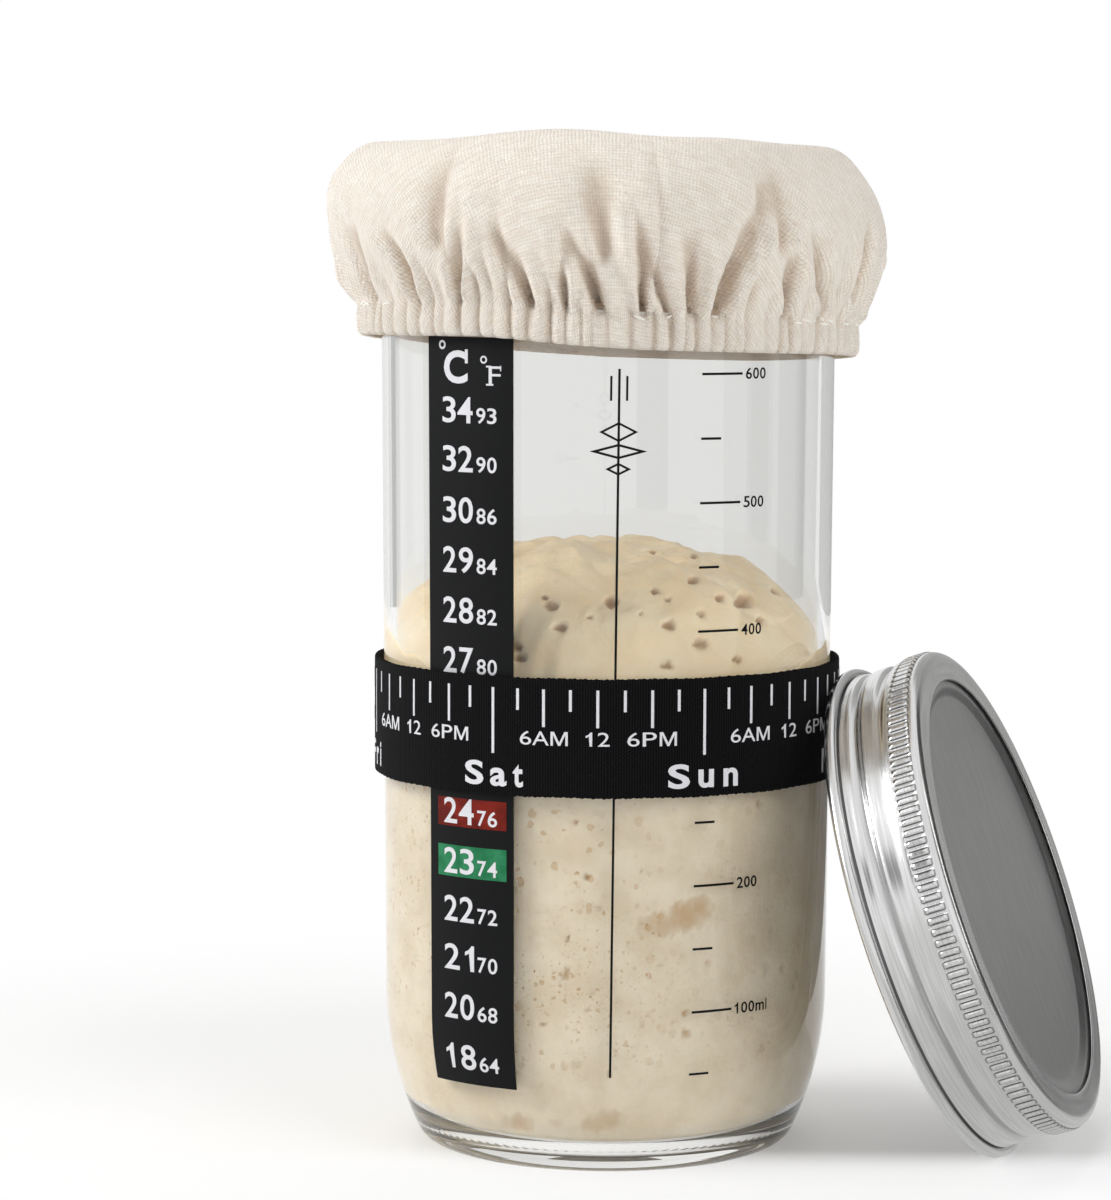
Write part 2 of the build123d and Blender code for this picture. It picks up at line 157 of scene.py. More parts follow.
class Finish:
    """A material: a Principled shader, fixed values on its own sockets, and nodes added by node().

    A world is made by the same class. It has no Principled shader.
    """

    def __init__(self, name, fixed, world=None):
        self.material = world or bpy.data.materials.new(name)
        self.material.use_nodes = True
        self.tree = self.material.node_tree
        self.tree.nodes.clear()
        self.output = self.tree.nodes.new("ShaderNodeOutputWorld" if world else "ShaderNodeOutputMaterial")
        if world:
            return
        self.shader = self.tree.nodes.new("ShaderNodeBsdfPrincipled")
        self.tree.links.new(self.shader.outputs[0], self.output.inputs["Surface"])
        for socket, value in fixed.items():
            self.shader.inputs[socket].default_value = value

    def node(self, kind, settings=None, sockets=None, out=0):
        """Adds a node, sets its settings, then feeds its sockets with values or signals."""
        made = self.tree.nodes.new(kind)
        for key, value in (settings or {}).items():
            setattr(made, key, value)
        for key, value in (sockets or {}).items():
            if isinstance(value, Signal):
                self.tree.links.new(value.socket, made.inputs[key])
            else:
                made.inputs[key].default_value = value
        return Signal(self, made.outputs[out])

    def feed(self, socket, signal):
        """Links a changing signal to one of the Principled shader's sockets."""
        self.tree.links.new(signal.socket, self.shader.inputs[socket])

    def mix_shaders(self, share, second, first=None):
        """Shows a second shader by a share, over the Principled shader or the first one given."""
        first = first or Signal(self, self.shader.outputs[0])
        mixed = self.node("ShaderNodeMixShader", None, {0: share, 1: first, 2: second})
        self.tree.links.new(mixed.socket, self.output.inputs["Surface"])

    def place(self):
        """Position on the piece in millimetres."""
        sockets = {"Vector": self.node("ShaderNodeTexCoord", out="Object"), "Scale": (1 / MM,) * 3}
        return self.node("ShaderNodeMapping", {"vector_type": "POINT"}, sockets)

    def attribute(self, name, out="Fac"):
        """A value that is kept on the points of the mesh."""
        return self.node("ShaderNodeAttribute", {"attribute_name": name}, out=out)

    def axes(self, point):
        """The three coordinates of a point."""
        parts = self.node("ShaderNodeSeparateXYZ", None, {0: point}).socket.node
        return [Signal(self, output) for output in parts.outputs]

    def noise(self, place, scale, detail=2.0, roughness=0.5):
        """Cloudy noise from 0 to 1; scale is how many blots go into a millimetre."""
        sockets = {"Vector": place, "Scale": scale, "Detail": detail, "Roughness": roughness}
        return self.node("ShaderNodeTexNoise", {"noise_dimensions": "3D"}, sockets)

    def blend(self, share, first, second):
        """Mixes two colours."""
        return self.node("ShaderNodeMix", {"data_type": "RGBA"}, {0: share, 6: first, 7: second}, out=2)

    def bump(self, height, distance, strength=1.0):
        """Tilts the surface by a height map given from 0 to 1; distance is in millimetres."""
        sockets = {"Height": height, "Distance": distance * MM, "Strength": strength}
        self.feed("Normal", self.node("ShaderNodeBump", None, sockets))


def shade(code):
    """Linear colour with alpha from a colour code such as D8C9A6."""
    levels = [int(code[i:i + 2], 16) / 255 for i in (0, 2, 4)]
    linear = [level / 12.92 if level <= 0.04045 else ((level + 0.055) / 1.055) ** 2.4 for level in levels]
    return (*linear, 1.0)


def grey(level):
    """A neutral linear colour with alpha."""
    return (level, level, level, 1.0)


WHITE = grey(1.0)
print("shader helpers ready")

# %% [markdown]
# Floor, daylight and lamps
#
# A product photograph is taken on white paper under large soft lamps. The floor is one plane. Near the
# jar it is matt paper that takes the shadow. Further out, and sooner in front, it turns into the same
# white as the background, so no horizon shows. The world gives an even light, and is plain white for the
# camera and for what is seen in metal and through glass.

# %% Floor and background
PAPER_RADIUS = 0.08
PAPER_FRONT, PAPER_FRONT_SHARE = (0.004, 0.03), 0.75
PAPER_GLOW = 0.22
FLOOR_SIZE = 12.0
WORLD_LEVEL = 0.40


def as_object(name, bm):
    """Puts a bmesh into the scene as an object."""
    mesh = bpy.data.meshes.new(name)
    bm.to_mesh(mesh)
    bm.free()
    made = bpy.data.objects.new(name, mesh)
    bpy.context.scene.collection.objects.link(made)
    return made


def flat_plane(name, width, height):
    """A single rectangle, for the floor and the cards."""
    bm = bmesh.new()
    bmesh.ops.create_grid(bm, x_segments=1, y_segments=1, size=0.5)
    bmesh.ops.scale(bm, vec=(width, height, 1), verts=bm.verts)
    return as_object(name, bm)


def seen_directly(finish):
    """1 for rays from the camera, from a mirror surface or through glass."""
    rays = ("Is Camera Ray", "Is Glossy Ray", "Is Transmission Ray")
    direct, mirrored, through = (finish.node("ShaderNodeLightPath", out=ray) for ray in rays)
    return direct.math("MAXIMUM", mirrored).math("MAXIMUM", through)


def make_floor():
    """White paper floor that fades into the background."""
    floor = flat_plane("floor", FLOOR_SIZE, FLOOR_SIZE)
    paper = Finish("floor_paper", {"Base Color": (0.97, 0.97, 0.965, 1), "Roughness": 0.9})
    point = paper.node("ShaderNodeTexCoord", out="Object")
    radius = paper.node("ShaderNodeVectorMath", {"operation": "LENGTH"}, {0: point}, out="Value")
    away = radius.between(PAPER_RADIUS, 3 * PAPER_RADIUS)
    front = (0 - paper.axes(point)[1]).between(*PAPER_FRONT) * PAPER_FRONT_SHARE
    share = away.math("MAXIMUM", front).math("MAXIMUM", PAPER_GLOW) * seen_directly(paper)
    paper.mix_shaders(share, paper.node("ShaderNodeEmission", None, {"Color": WHITE, "Strength": 1.0}))
    floor.data.materials.append(paper.material)


def make_world():
    """Even daylight, plain white wherever it is seen directly."""
    bpy.context.scene.world = bpy.data.worlds.new("daylight")
    sky = Finish("daylight", {}, bpy.context.scene.world)
    lighting, seen = (
        sky.node("ShaderNodeBackground", None, {"Color": WHITE, "Strength": level})
        for level in (WORLD_LEVEL, 1.0)
    )
    sky.mix_shaders(seen_directly(sky), seen, lighting)


make_floor()
make_world()
print("floor", FLOOR_SIZE, "m wide, world at", WORLD_LEVEL)

# %% [markdown]
# Lamps and cards
#
# In plain white surroundings metal looks like paper and glass has no edges. So a photographer stands grey
# cards round the set, out of view, and lays some on the table: they draw the bands on the lid and the
# dark lines at the sides of the glass. Each card here shows only in metal, only in glass, or in both, so
# one can be set without spoiling the other. The lamps don't show through the glass, where they would be
# pale squares, and only the first one shows in metal.

# %% Lamps and cards, in metres
JAR_MIDDLE = (0.0, 0.0, 0.09)
LID_MIDDLE = (0.06, 0.0, 0.05)
CARD_TINT = 0.985
CARD_LIFT = 0.0012


def lamp(name, place, size, power, mirrored):
    """A soft square lamp that looks at the jar."""
    data = bpy.data.lights.new(name, "AREA")
    data.shape = "SQUARE"
    data.size = size
    data.energy = power
    made = bpy.data.objects.new(name, data)
    made.location = place
    look = Vector(JAR_MIDDLE) - Vector(place)
    made.rotation_euler = look.to_track_quat("-Z", "Y").to_euler()
    made.visible_glossy, made.visible_transmission = mirrored, False
    bpy.context.scene.collection.objects.link(made)


def card(name, place, width, height, tones, target, in_metal, in_glass):
    """A grey card that only shows in metal or glass; its tone runs from its left to its right side."""
    made = flat_plane(name, width, height)
    look = Vector(target) - Vector(place)
    made.matrix_world = Matrix.Translation(place) @ look.to_track_quat("Z", "Y").to_matrix().to_4x4()
    made.visible_camera = made.visible_shadow = made.visible_diffuse = False
    made.visible_glossy, made.visible_transmission = in_metal, in_glass
    finish = Finish(name, {
        "Base Color": grey(0), "Roughness": 1.0, "Specular IOR Level": 0.0, "Emission Strength": 1.0,
    })
    across = finish.axes(finish.node("ShaderNodeTexCoord", out="Object"))[0]
    first, second = ((tone, tone, tone * CARD_TINT, 1) for tone in tones)
    finish.feed("Emission Color", finish.blend(across.between(-width / 2, width / 2), first, second))
    made.data.materials.append(finish.material)


lamp("key_lamp", (-1.25, -0.22, 0.72), 0.6, 12.0, mirrored=True)
lamp("fill_lamp", (0.95, -0.95, 0.6), 0.9, 7.5, mirrored=False)
lamp("top_lamp", (-0.1, 0.2, 1.3), 0.7, 4.0, mirrored=False)
# Name, place, width, height, tones from left to right, what it looks at, and whether metal and glass
# show it.
STANDING_CARDS = (
    ("left_card", (-0.9, 0.1, 0.25), 0.30, 1.0, (0.12, 0.12), JAR_MIDDLE, True, True),
    ("edge_card", (0.95, 0.35, 0.25), 0.45, 1.0, (0.10, 0.10), JAR_MIDDLE, False, True),
    ("lid_card", (0.40, 0.78, 0.35), 0.62, 1.2, (0.50, 0.40), LID_MIDDLE, True, False),
    ("right_card", (0.86, 0.08, 0.32), 1.4, 1.1, (0.06, 0.08), LID_MIDDLE, True, False),
    ("rib_card", (0.74, -0.16, 0.42), 0.12, 0.7, (2.6, 2.6), LID_MIDDLE, True, False),
    ("front_left_card", (-0.51, -0.68, 0.36), 0.14, 0.28, (0.05, 0.05), LID_MIDDLE, True, False),
    ("back_left_card", (-0.60, 0.75, 0.3), 0.22, 1.0, (0.5, 0.5), (0.0, 0.0, 0.1), True, True),
    ("backdrop_card", (0.0, 0.9, 0.3), 1.4, 0.9, (0.92, 0.69), (0.0, 0.0, 0.3), False, True),
)
FLOOR_CARDS = (
    ("right_floor_card", (0.53, 0.22), 0.80, 1.10, (0.16, 0.20)),
    ("front_floor_card", (-0.05, -0.40), 1.20, 0.68, (0.78, 0.78)),
    ("lid_floor_card", (0.085, -0.13), 0.09, 0.34, (0.62, 0.62)),
)
for settings in STANDING_CARDS:
    card(*settings)
for name, place, width, height, tones in FLOOR_CARDS:
    card(name, (*place, CARD_LIFT), width, height, tones, (*place, 1.0), True, False)
print("3 lamps,", len(STANDING_CARDS), "standing cards and", len(FLOOR_CARDS), "on the floor")

# %% [markdown]
# From a bmesh to a finished piece
#
# Every piece ends the same way: its normals are set right, it is shaded smooth with its sharp edges kept,
# it gets its finish, it is hung on the moving body that it rides on, and the solid it stands for is hidden.

# %% Piece helper


def islands(bm):
    """The faces of a mesh, in groups that hang together."""
    waiting = set(bm.faces)
    while waiting:
        island, found = [], [waiting.pop()]
        while found:
            face = found.pop()
            island.append(face)
            near = {other for edge in face.edges for other in edge.link_faces} & waiting
            waiting -= near
            found.extend(near)
        yield island


def face_outward(bm):
    """Turns each closed group of faces outward: its volume, summed from one of its points, is positive."""
    bmesh.ops.recalc_face_normals(bm, faces=bm.faces)
    for island in islands(bm):
        start = island[0].verts[0].co.copy()
        parts = [face.calc_area() * (face.verts[0].co - start).dot(face.normal) for face in island]
        if sum(parts) < 0:
            bmesh.ops.reverse_faces(bm, faces=island)


def finish_piece(name, bm, finish, body, stands_for=None, sharp=40, faced=False):
    """Turns a bmesh into a named piece that rides on a body; print comes with its faces turned outward."""
    if not faced:
        face_outward(bm)
    piece = as_object(name, bm)
    piece.data.shade_smooth()
    piece.data.set_sharp_from_angle(angle=radians(sharp))
    piece.data.materials.append(finish.material)
    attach(piece, body)
    if stands_for:
        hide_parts(stands_for)
    print(name, len(piece.data.polygons), "faces")
    return piece


def dress(node, finish):
    """Gives a CAD solid that stays in view its finish."""
    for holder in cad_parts[node].material_slots:
        holder.material = finish.material


def arc(centre, radius, start, end, steps):
    """Points of an arc in an outline, from one angle to another, angles in degrees."""
    angles = [radians(start + (end - start) * step / steps) for step in range(steps + 1)]
    return [(centre[0] + radius * cos(angle), centre[1] + radius * sin(angle)) for angle in angles]


def spin_outline(points, steps):
    """Turns an outline of (radius, height) points in millimetres a full turn about Z.

    Spin gets slow as its mesh grows, so it makes one sector, and the other sectors are turned copies.
    """
    bm = bmesh.new()
    verts = [bm.verts.new((radius * MM, 0, height * MM)) for radius, height in points]
    for first, second in zip(verts, verts[1:]):
        bm.edges.new((first, second))
    sectors = next(count for count in (16, 14, 12, 10, 8, 1) if steps % count == 0)
    bmesh.ops.spin(
        bm, geom=bm.verts[:] + bm.edges[:], cent=(0, 0, 0), axis=(0, 0, 1), dvec=(0, 0, 0),
        angle=2 * pi / sectors, steps=steps // sectors, use_merge=False, use_duplicate=False,
    )
    sector = bm.verts[:] + bm.edges[:] + bm.faces[:]
    for index in range(1, sectors):
        copy = bmesh.ops.duplicate(bm, geom=sector)["geom"]
        moved = [item for item in copy if isinstance(item, bmesh.types.BMVert)]
        turn = Matrix.Rotation(2 * pi * index / sectors, 3, "Z")
        bmesh.ops.rotate(bm, cent=(0, 0, 0), matrix=turn, verts=moved)
    bmesh.ops.remove_doubles(bm, verts=bm.verts, dist=0.002 * MM)
    return bm


print("piece helpers ready")

# %% [markdown]
# Clear glass
#
# Glass needs its real walls, an outer and an inner one, because the bright and dark lines at its edges
# are the two surfaces bending the light. Lamps can't shine through refracting glass without a great
# deal of sampling, so for shadow rays and for light scattered inside the jar the wall is plainly
# transparent, and only what is seen through it is bent.

# %% Finish of the glass
GLASS_TINT = (0.95, 0.952, 0.945, 1.0)
GLASS_SHADE = (0.985, 0.99, 0.985, 1.0)


def make_glass_finish():
    glass = Finish("clear_glass", {
        "Base Color": GLASS_TINT, "Roughness": 0.0, "Transmission Weight": 1.0, "IOR": 1.5,
    })
    shadow, scattered = (
        glass.node("ShaderNodeLightPath", out=ray) for ray in ("Is Shadow Ray", "Is Diffuse Ray")
    )
    open_wall = glass.node("ShaderNodeBsdfTransparent", None, {"Color": GLASS_SHADE})
    glass.mix_shaders(shadow.math("MAXIMUM", scattered), open_wall)
    return glass


glass_finish = make_glass_finish()

# %% [markdown]
# The glass jar
#
# A pressed jar is a body of revolution: its outline is drawn once, outside and inside, and turned about
# the axis. It has a pushed-up base on a narrow foot, a heel of two arcs, a wall that widens a little
# upwards, a bead, and a neck. Three things are moved into the turned mesh by formula: the screw thread,
# which climbs round the neck, the row of small notches under the foot, and the faint rings that the tools
# of the mould leave on the base.

# %% Sizes of the jar, in millimetres
jar_low, jar_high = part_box("glass_jar")
JAR_HEIGHT = (jar_high[2] - jar_low[2]) / MM
BODY_LOW_RADIUS, BODY_TOP_RADIUS = 39.75, 40.5
WALL = 2.2
HEEL_HEIGHT, HEEL_RADIUS, FOOT_ROUND, FOOT_WIDTH = 28.0, 60.0, 4.5, 2.0
PUNT, FLOOR_HEIGHT, FLOOR_CROWN, INNER_HEEL_ROUND = 2.4, 3.4, 1.6, 7.5
NECK_HEIGHT, NECK_RADIUS, MOUTH_RADIUS, MOUTH_SLOPE, RIM_ROUND = 25.5, 40.6, 37.3, 8.0, 1.0
BODY_TOP = JAR_HEIGHT - NECK_HEIGHT
BEAD_DROP, BEAD_WIDTH, BEAD_DEPTH = 18.9, 4.0, 1.6
BEAD_HEIGHT = JAR_HEIGHT - BEAD_DROP
THREAD_TOP, THREAD_PITCH, THREAD_TURNS, THREAD_DEPTH, THREAD_WIDTH = 172.6, 5.0, 1.35, 1.2, 1.7
THREAD_END, THREAD_FLANK = 0.06, 1.3
FOOT_NOTCHES, NOTCH_DEPTH = 96, 0.35
BASE_RING_PITCH, BASE_RING_DEPTH, BASE_RING_FROM = 2.1, 0.26, 16.0
JAR_STEPS = 288


def body_radius(height):
    """Outer radius of the jar's side at a height, from the heel to the top of the wall."""
    if height < HEEL_HEIGHT:
        centre = BODY_LOW_RADIUS - HEEL_RADIUS
        return centre + sqrt(HEEL_RADIUS ** 2 - (HEEL_HEIGHT - height) ** 2)
    share = (height - HEEL_HEIGHT) / (BODY_TOP - HEEL_HEIGHT)
    return BODY_LOW_RADIUS + (BODY_TOP_RADIUS - BODY_LOW_RADIUS) * share


def heel(radius, large, small, floor, steps):
    """Outline from a flat floor up a small arc and a large one, to an upright wall."""
    centre = radius - large
    small_z = floor + small
    small_x = centre + sqrt((large - small) ** 2 - (HEEL_HEIGHT - small_z) ** 2)
    turn = degrees(atan2(small_z - HEEL_HEIGHT, small_x - centre))
    corner = arc((small_x, small_z), small, -90, turn, steps)
    return corner + arc((centre, HEEL_HEIGHT), large, turn, 0, 2 * steps)[1:]


def rise(radius, start, end, count):
    """Points up an upright stretch of outline."""
    return [(radius, start + (end - start) * step / count) for step in range(1, count)]


def dish(reach, rise_by, floor, steps):
    """Shallow arc from the axis, where it is highest, down to a floor at its reach."""
    large = (reach ** 2 + rise_by ** 2) / (2 * rise_by)
    lift = degrees(atan2(reach, large - rise_by))
    return arc((0, floor + rise_by - large), large, 90, 90 - lift, steps)


def inner_floor(reach):
    """The jar's floor inside, which follows the pushed-up base."""
    return dish(reach, FLOOR_CROWN, FLOOR_HEIGHT, 12)


def jar_outline():
    """Outline of the whole jar, from the middle of its underside to the middle of its inner floor."""
    outer = heel(BODY_LOW_RADIUS, HEEL_RADIUS, FOOT_ROUND, 0, 10)
    foot = outer[0][0] - FOOT_WIDTH
    under = dish(foot, PUNT, 0, 36)
    foot_ring = [(foot + FOOT_WIDTH * step / 4, 0) for step in range(1, 4)]
    side = [(body_radius(height), height) for height in np.linspace(HEEL_HEIGHT, BODY_TOP, 16)[1:]]
    bead_reach = sqrt(BEAD_WIDTH ** 2 / 4 + BEAD_DEPTH ** 2) / 2
    bead_round = bead_reach ** 2 * 2 / BEAD_DEPTH
    bead_lift = degrees(atan2(BEAD_WIDTH / 2, bead_round - BEAD_DEPTH))
    bead = arc((NECK_RADIUS + BEAD_DEPTH - bead_round, BEAD_HEIGHT), bead_round, -bead_lift, bead_lift, 10)
    neck = rise(NECK_RADIUS, BEAD_HEIGHT + BEAD_WIDTH / 2, JAR_HEIGHT - RIM_ROUND, 44)
    lip = arc((NECK_RADIUS - RIM_ROUND, JAR_HEIGHT - RIM_ROUND), RIM_ROUND, 0, 90, 6)
    inner_lip = arc((MOUTH_RADIUS + RIM_ROUND, JAR_HEIGHT - RIM_ROUND), RIM_ROUND, 90, 180, 6)
    throat = rise(MOUTH_RADIUS, JAR_HEIGHT - RIM_ROUND, BODY_TOP + MOUTH_SLOPE, 6)
    inner_top = (BODY_TOP_RADIUS - WALL, BODY_TOP)
    shoulder = [(MOUTH_RADIUS, BODY_TOP + MOUTH_SLOPE), inner_top]
    inside = heel(BODY_LOW_RADIUS - WALL, HEEL_RADIUS - WALL, INNER_HEEL_ROUND, FLOOR_HEIGHT, 10)
    levels = np.linspace(BODY_TOP, HEEL_HEIGHT, 16)[1:-1]
    inner_side = [(body_radius(height) - WALL, height) for height in levels]
    floor = inner_floor(inside[0][0])[::-1][1:]
    outside = under + foot_ring + outer + side + bead + neck + lip
    return outside + inner_lip + throat + shoulder + inner_side + inside[::-1] + floor


def thread_height(turn, height):
    """How far the screw thread stands out at a place on the neck, from 0 to 1."""
    best = 0.0
    for lap in range(int(THREAD_TURNS) + 1):
        travel = turn / (2 * pi) + lap
        if 0 <= travel <= THREAD_TURNS:
            off = abs(height - (THREAD_TOP - THREAD_PITCH * travel)) / THREAD_WIDTH
            ends = min(1.0, min(travel, THREAD_TURNS - travel) / THREAD_END)
            if off < 1:
                best = max(best, cos(off * pi / 2) ** THREAD_FLANK * ends)
    return best


def make_jar():
    """Pressed glass jar with its thread, the notches under its foot and the faint rings of its base."""
    bm = spin_outline(jar_outline(), JAR_STEPS)
    foot = heel(BODY_LOW_RADIUS, HEEL_RADIUS, FOOT_ROUND, 0, 10)[0][0] - FOOT_WIDTH / 2
    for vert in bm.verts:
        radius, height = vert.co.xy.length / MM, vert.co.z / MM
        turn = atan2(vert.co.y, vert.co.x) % (2 * pi)
        if abs(radius - NECK_RADIUS) < 0.01 and height > BEAD_HEIGHT:
            grown = radius + THREAD_DEPTH * thread_height(turn, height)
            vert.co.xy *= grown / radius
        elif height < 0.01 and abs(radius - foot) < FOOT_WIDTH * 0.4:
            vert.co.z += NOTCH_DEPTH * MM * (0.5 - 0.5 * cos(turn * FOOT_NOTCHES))
        elif height < PUNT and BASE_RING_FROM < radius < foot - FOOT_WIDTH:
            vert.co.z += BASE_RING_DEPTH * MM * sin(radius * 2 * pi / BASE_RING_PITCH)
    return finish_piece("jar_glass", bm, glass_finish, "jar", "glass_jar")


make_jar()

# %% [markdown]
# The starter
#
# The dough touches the glass everywhere below its edge, so it is as round as the jar's inside, and it
# reaches a tenth of a millimetre into the wall: with no film of air between them, it fills the jar to
# its outline, as in the photograph. It is turned like the jar and then shaped by formula. The edge runs
# up and down the glass, lowest in front, and the top swells over it in lumps. Gas bubbles are pits pushed
# into the side and the top: large ones where the photograph shows them, small ones by a seeded draw.

# %% Sizes of the starter
# The edge on the glass has a height at each of a few bearings, in degrees from the front. Lumps are
# noises, each with its size and its height. A swell is an x, a y, a width and how far it rises.
DOUGH_EDGE, DOUGH_PEAK, DOUGH_BULGE, DOUGH_FOOT = 95.0, 107.3, 3.2, 34.0
DOUGH_HEEL_ROUND, DOUGH_LIFT = 10.4, 0.25
DOUGH_PRESS = 0.12
DOUGH_STEPS, DOUGH_ROWS, DOUGH_RINGS = 480, 112, 80
EDGE_BEARINGS = (-180, -125, -95, -68, -42, 0, 28, 52, 72, 92, 130, 180)
EDGE_HEIGHTS = (97, 98, 96.5, 90.5, 84, 82, 83, 86.5, 90, 93, 95, 97)
EDGE_LUMPS = ((9.0, 2.2), (3.5, 0.9))
LUMPS = ((13.0, 1.5), (6.5, 1.25), (3.4, 0.7), (1.5, 0.2))
SWELLS = (
    (-8.0, -3.0, 12.0, 1.2), (18.0, -4.0, 12.0, 0.3), (5.5, -8.0, 4.5, -1.3), (-16.0, -24.0, 6.0, -2.4),
    (-15.0, 12.0, 7.0, -2.6), (13.0, 11.0, 2.8, -1.3), (23.5, 10.0, 8.0, 0.3), (6.5, 12.0, 3.5, 0.6),
    (8.0, -30.0, 7.0, 1.6), (27.0, -22.0, 7.0, 1.4), (-3.0, -24.0, 7.0, -1.2), (-24.0, -26.0, 6.0, 1.8),
)


def side_radius(height):
    """Inner radius of the glass, from its floor to the dough's edge."""
    points = heel(BODY_LOW_RADIUS - WALL, HEEL_RADIUS - WALL, INNER_HEEL_ROUND, FLOOR_HEIGHT, 24)
    if height >= HEEL_HEIGHT:
        return body_radius(height) - WALL
    return float(np.interp(height, [z for _, z in points], [r for r, _ in points]))


def dough_outline():
    """Outline of the starter: domed floor, side and the ring stations of the top."""
    base = heel(BODY_LOW_RADIUS - WALL, HEEL_RADIUS - WALL, DOUGH_HEEL_ROUND, FLOOR_HEIGHT + DOUGH_LIFT, 12)
    floor = [(radius, height + DOUGH_LIFT) for radius, height in inner_floor(base[0][0])[:-1]]
    low = [point for point in base if point[1] < 16]
    heights = np.linspace(low[-1][1], DOUGH_EDGE, DOUGH_ROWS)[1:]
    side = [(side_radius(height), height) for height in heights]
    edge = side[-1][0]
    pressed = [
        (radius + DOUGH_PRESS if radius else 0, height - DOUGH_PRESS)
        for radius, height in floor + low + side
    ]
    shares = [(1 - step / DOUGH_RINGS) ** 0.8 for step in range(1, DOUGH_RINGS + 1)]
    return pressed + [(edge * share, DOUGH_EDGE) for share in shares]


def lumps(points, sizes):
    """Sum of smooth noises at a few sizes, for many places in millimetres."""
    return np.array([
        sum(noise.noise(Vector(point) / size) * rise_by for size, rise_by in sizes) for point in points
    ])


def edge_height(bearing):
    """Height where the dough leaves the glass, by bearing in degrees."""
    ring = [(sin(radians(b)) * 40, cos(radians(b)) * 40, 0.5) for b in bearing]
    return np.interp(bearing, EDGE_BEARINGS, EDGE_HEIGHTS) + lumps(ring, EDGE_LUMPS)


def dough_top(place, edge):
    """Height of the dough's top at many places (x, y), between its edge and its peak."""
    share = np.clip(np.linalg.norm(place, axis=1) / edge, 0, 1)
    bearing = np.degrees(np.arctan2(place[:, 0], -place[:, 1]))
    low = edge_height(bearing)
    height = low + (DOUGH_PEAK - low) * (1 - share ** DOUGH_BULGE)
    loose = 1 - share ** 8
    for x, y, width, rise_by in SWELLS:
        off = np.linalg.norm(place - (x, y), axis=1) / width
        height = height + rise_by * np.exp(-off ** 2) * loose
    return height + lumps([(x, y, 3.7) for x, y in place], LUMPS) * loose


# %% Bubbles of the starter
# A side bubble is a bearing in degrees from the front, a height, a half width, how tall it is for its
# width, a turn in degrees and a depth, in millimetres. A top pit is an x and a height seen from the
# front, with a half width and a depth.
SIDE_BUBBLES = (
    (10.6, 44.5, 2.6, 0.75, 0, 0.4), (14.4, 44.8, 3.2, 0.8, -8, 0.5), (20.9, 46.1, 4.0, 0.8, 10, 0.62),
    (25.0, 47.3, 2.6, 0.9, 20, 0.6), (-5.1, 53.2, 0.62, 0.9, 0, 0.8),
    (-8.1, 62.8, 0.7, 0.8, 0, 0.5), (43.0, 64.5, 0.5, 1.2, 20, 0.7), (9.0, 54.3, 0.4, 1.0, 0, 0.5),
    (-2.0, 47.7, 1.0, 0.7, -20, 0.4), (-9.8, 42.4, 0.62, 0.9, 0, 0.7), (-10.3, 36.2, 0.9, 1.5, -25, 0.6),
    (-16.6, 27.2, 0.85, 0.8, 0, 0.6), (-3.4, 32.9, 0.5, 1.0, 0, 0.5), (-4.7, 30.0, 0.5, 1.0, 0, 0.5),
    (0.9, 19.0, 0.8, 1.0, 0, 0.4), (9.5, 27.3, 0.8, 0.9, 0, 0.4), (21.0, 29.2, 1.0, 0.7, 15, 0.6),
    (21.3, 25.6, 1.2, 0.8, -10, 0.7), (27.3, 37.6, 1.0, 0.8, 0, 0.5), (14.1, 37.7, 0.8, 0.5, 0, 0.4),
    (53.0, 34.8, 1.2, 0.7, 0, 0.4), (-7.4, 20.2, 1.2, 0.7, 20, 0.35), (-25.6, 8.9, 3.4, 0.6, 10, 0.5),
    (1.0, 10.4, 3.0, 0.7, 0, 0.45), (-3.4, 9.6, 3.0, 0.6, 0, 0.45), (-14.0, 9.6, 2.0, 0.5, 0, 0.3),
    (171.0, 55.0, 3.0, 0.7, -15, 0.6), (-138.0, 40.0, 2.4, 0.9, 5, 0.6), (148.0, 28.0, 1.9, 0.8, 0, 0.5),
)
TOP_PITS = (
    (-9.6, 98.8, 1.2, 1.3), (-8.2, 95.5, 1.15, 1.3), (0.8, 99.4, 1.3, 1.5), (8.3, 101.2, 0.8, 0.9),
    (15.5, 105.9, 0.6, 0.7), (14.8, 102.8, 0.9, 1.1), (16.1, 97.5, 0.75, 1.0), (23.9, 98.8, 1.6, 1.4),
    (10.5, 95.9, 1.15, 1.3), (10.5, 99.8, 0.6, 0.7), (16.1, 92.5, 1.3, 1.0), (10.1, 89.3, 1.0, 1.1),
    (22.2, 89.7, 0.8, 1.0), (26.5, 95.7, 0.8, 0.9), (8.2, 106.6, 0.6, 0.7), (-15.5, 91.8, 1.0, 1.2),
    (-15.1, 90.1, 1.1, 1.3), (-3.0, 97.1, 0.5, 0.6), (19.5, 99.8, 0.9, 0.9), (30.1, 99.9, 0.9, 1.1),
    (5.7, 97.7, 0.45, 0.6), (-10.8, 100.0, 0.6, 0.7), (-19.0, 97.0, 1.0, 1.0), (-28.0, 95.0, 1.1, 1.0),
)
SMALL_BUBBLES = 900
SIDE_CLEAR = 28
SMALL_BANDS = ((44.0, 9.0), (36.0, 9.0), (66.0, 14.0), (25.0, 9.0))
SMALL_BAND_SHARES = (0.4, 0.3, 0.15, 0.15)
SIDE_FROM, SIDE_INNER, DEEP_BUBBLE = 2.2, 30, 0.62


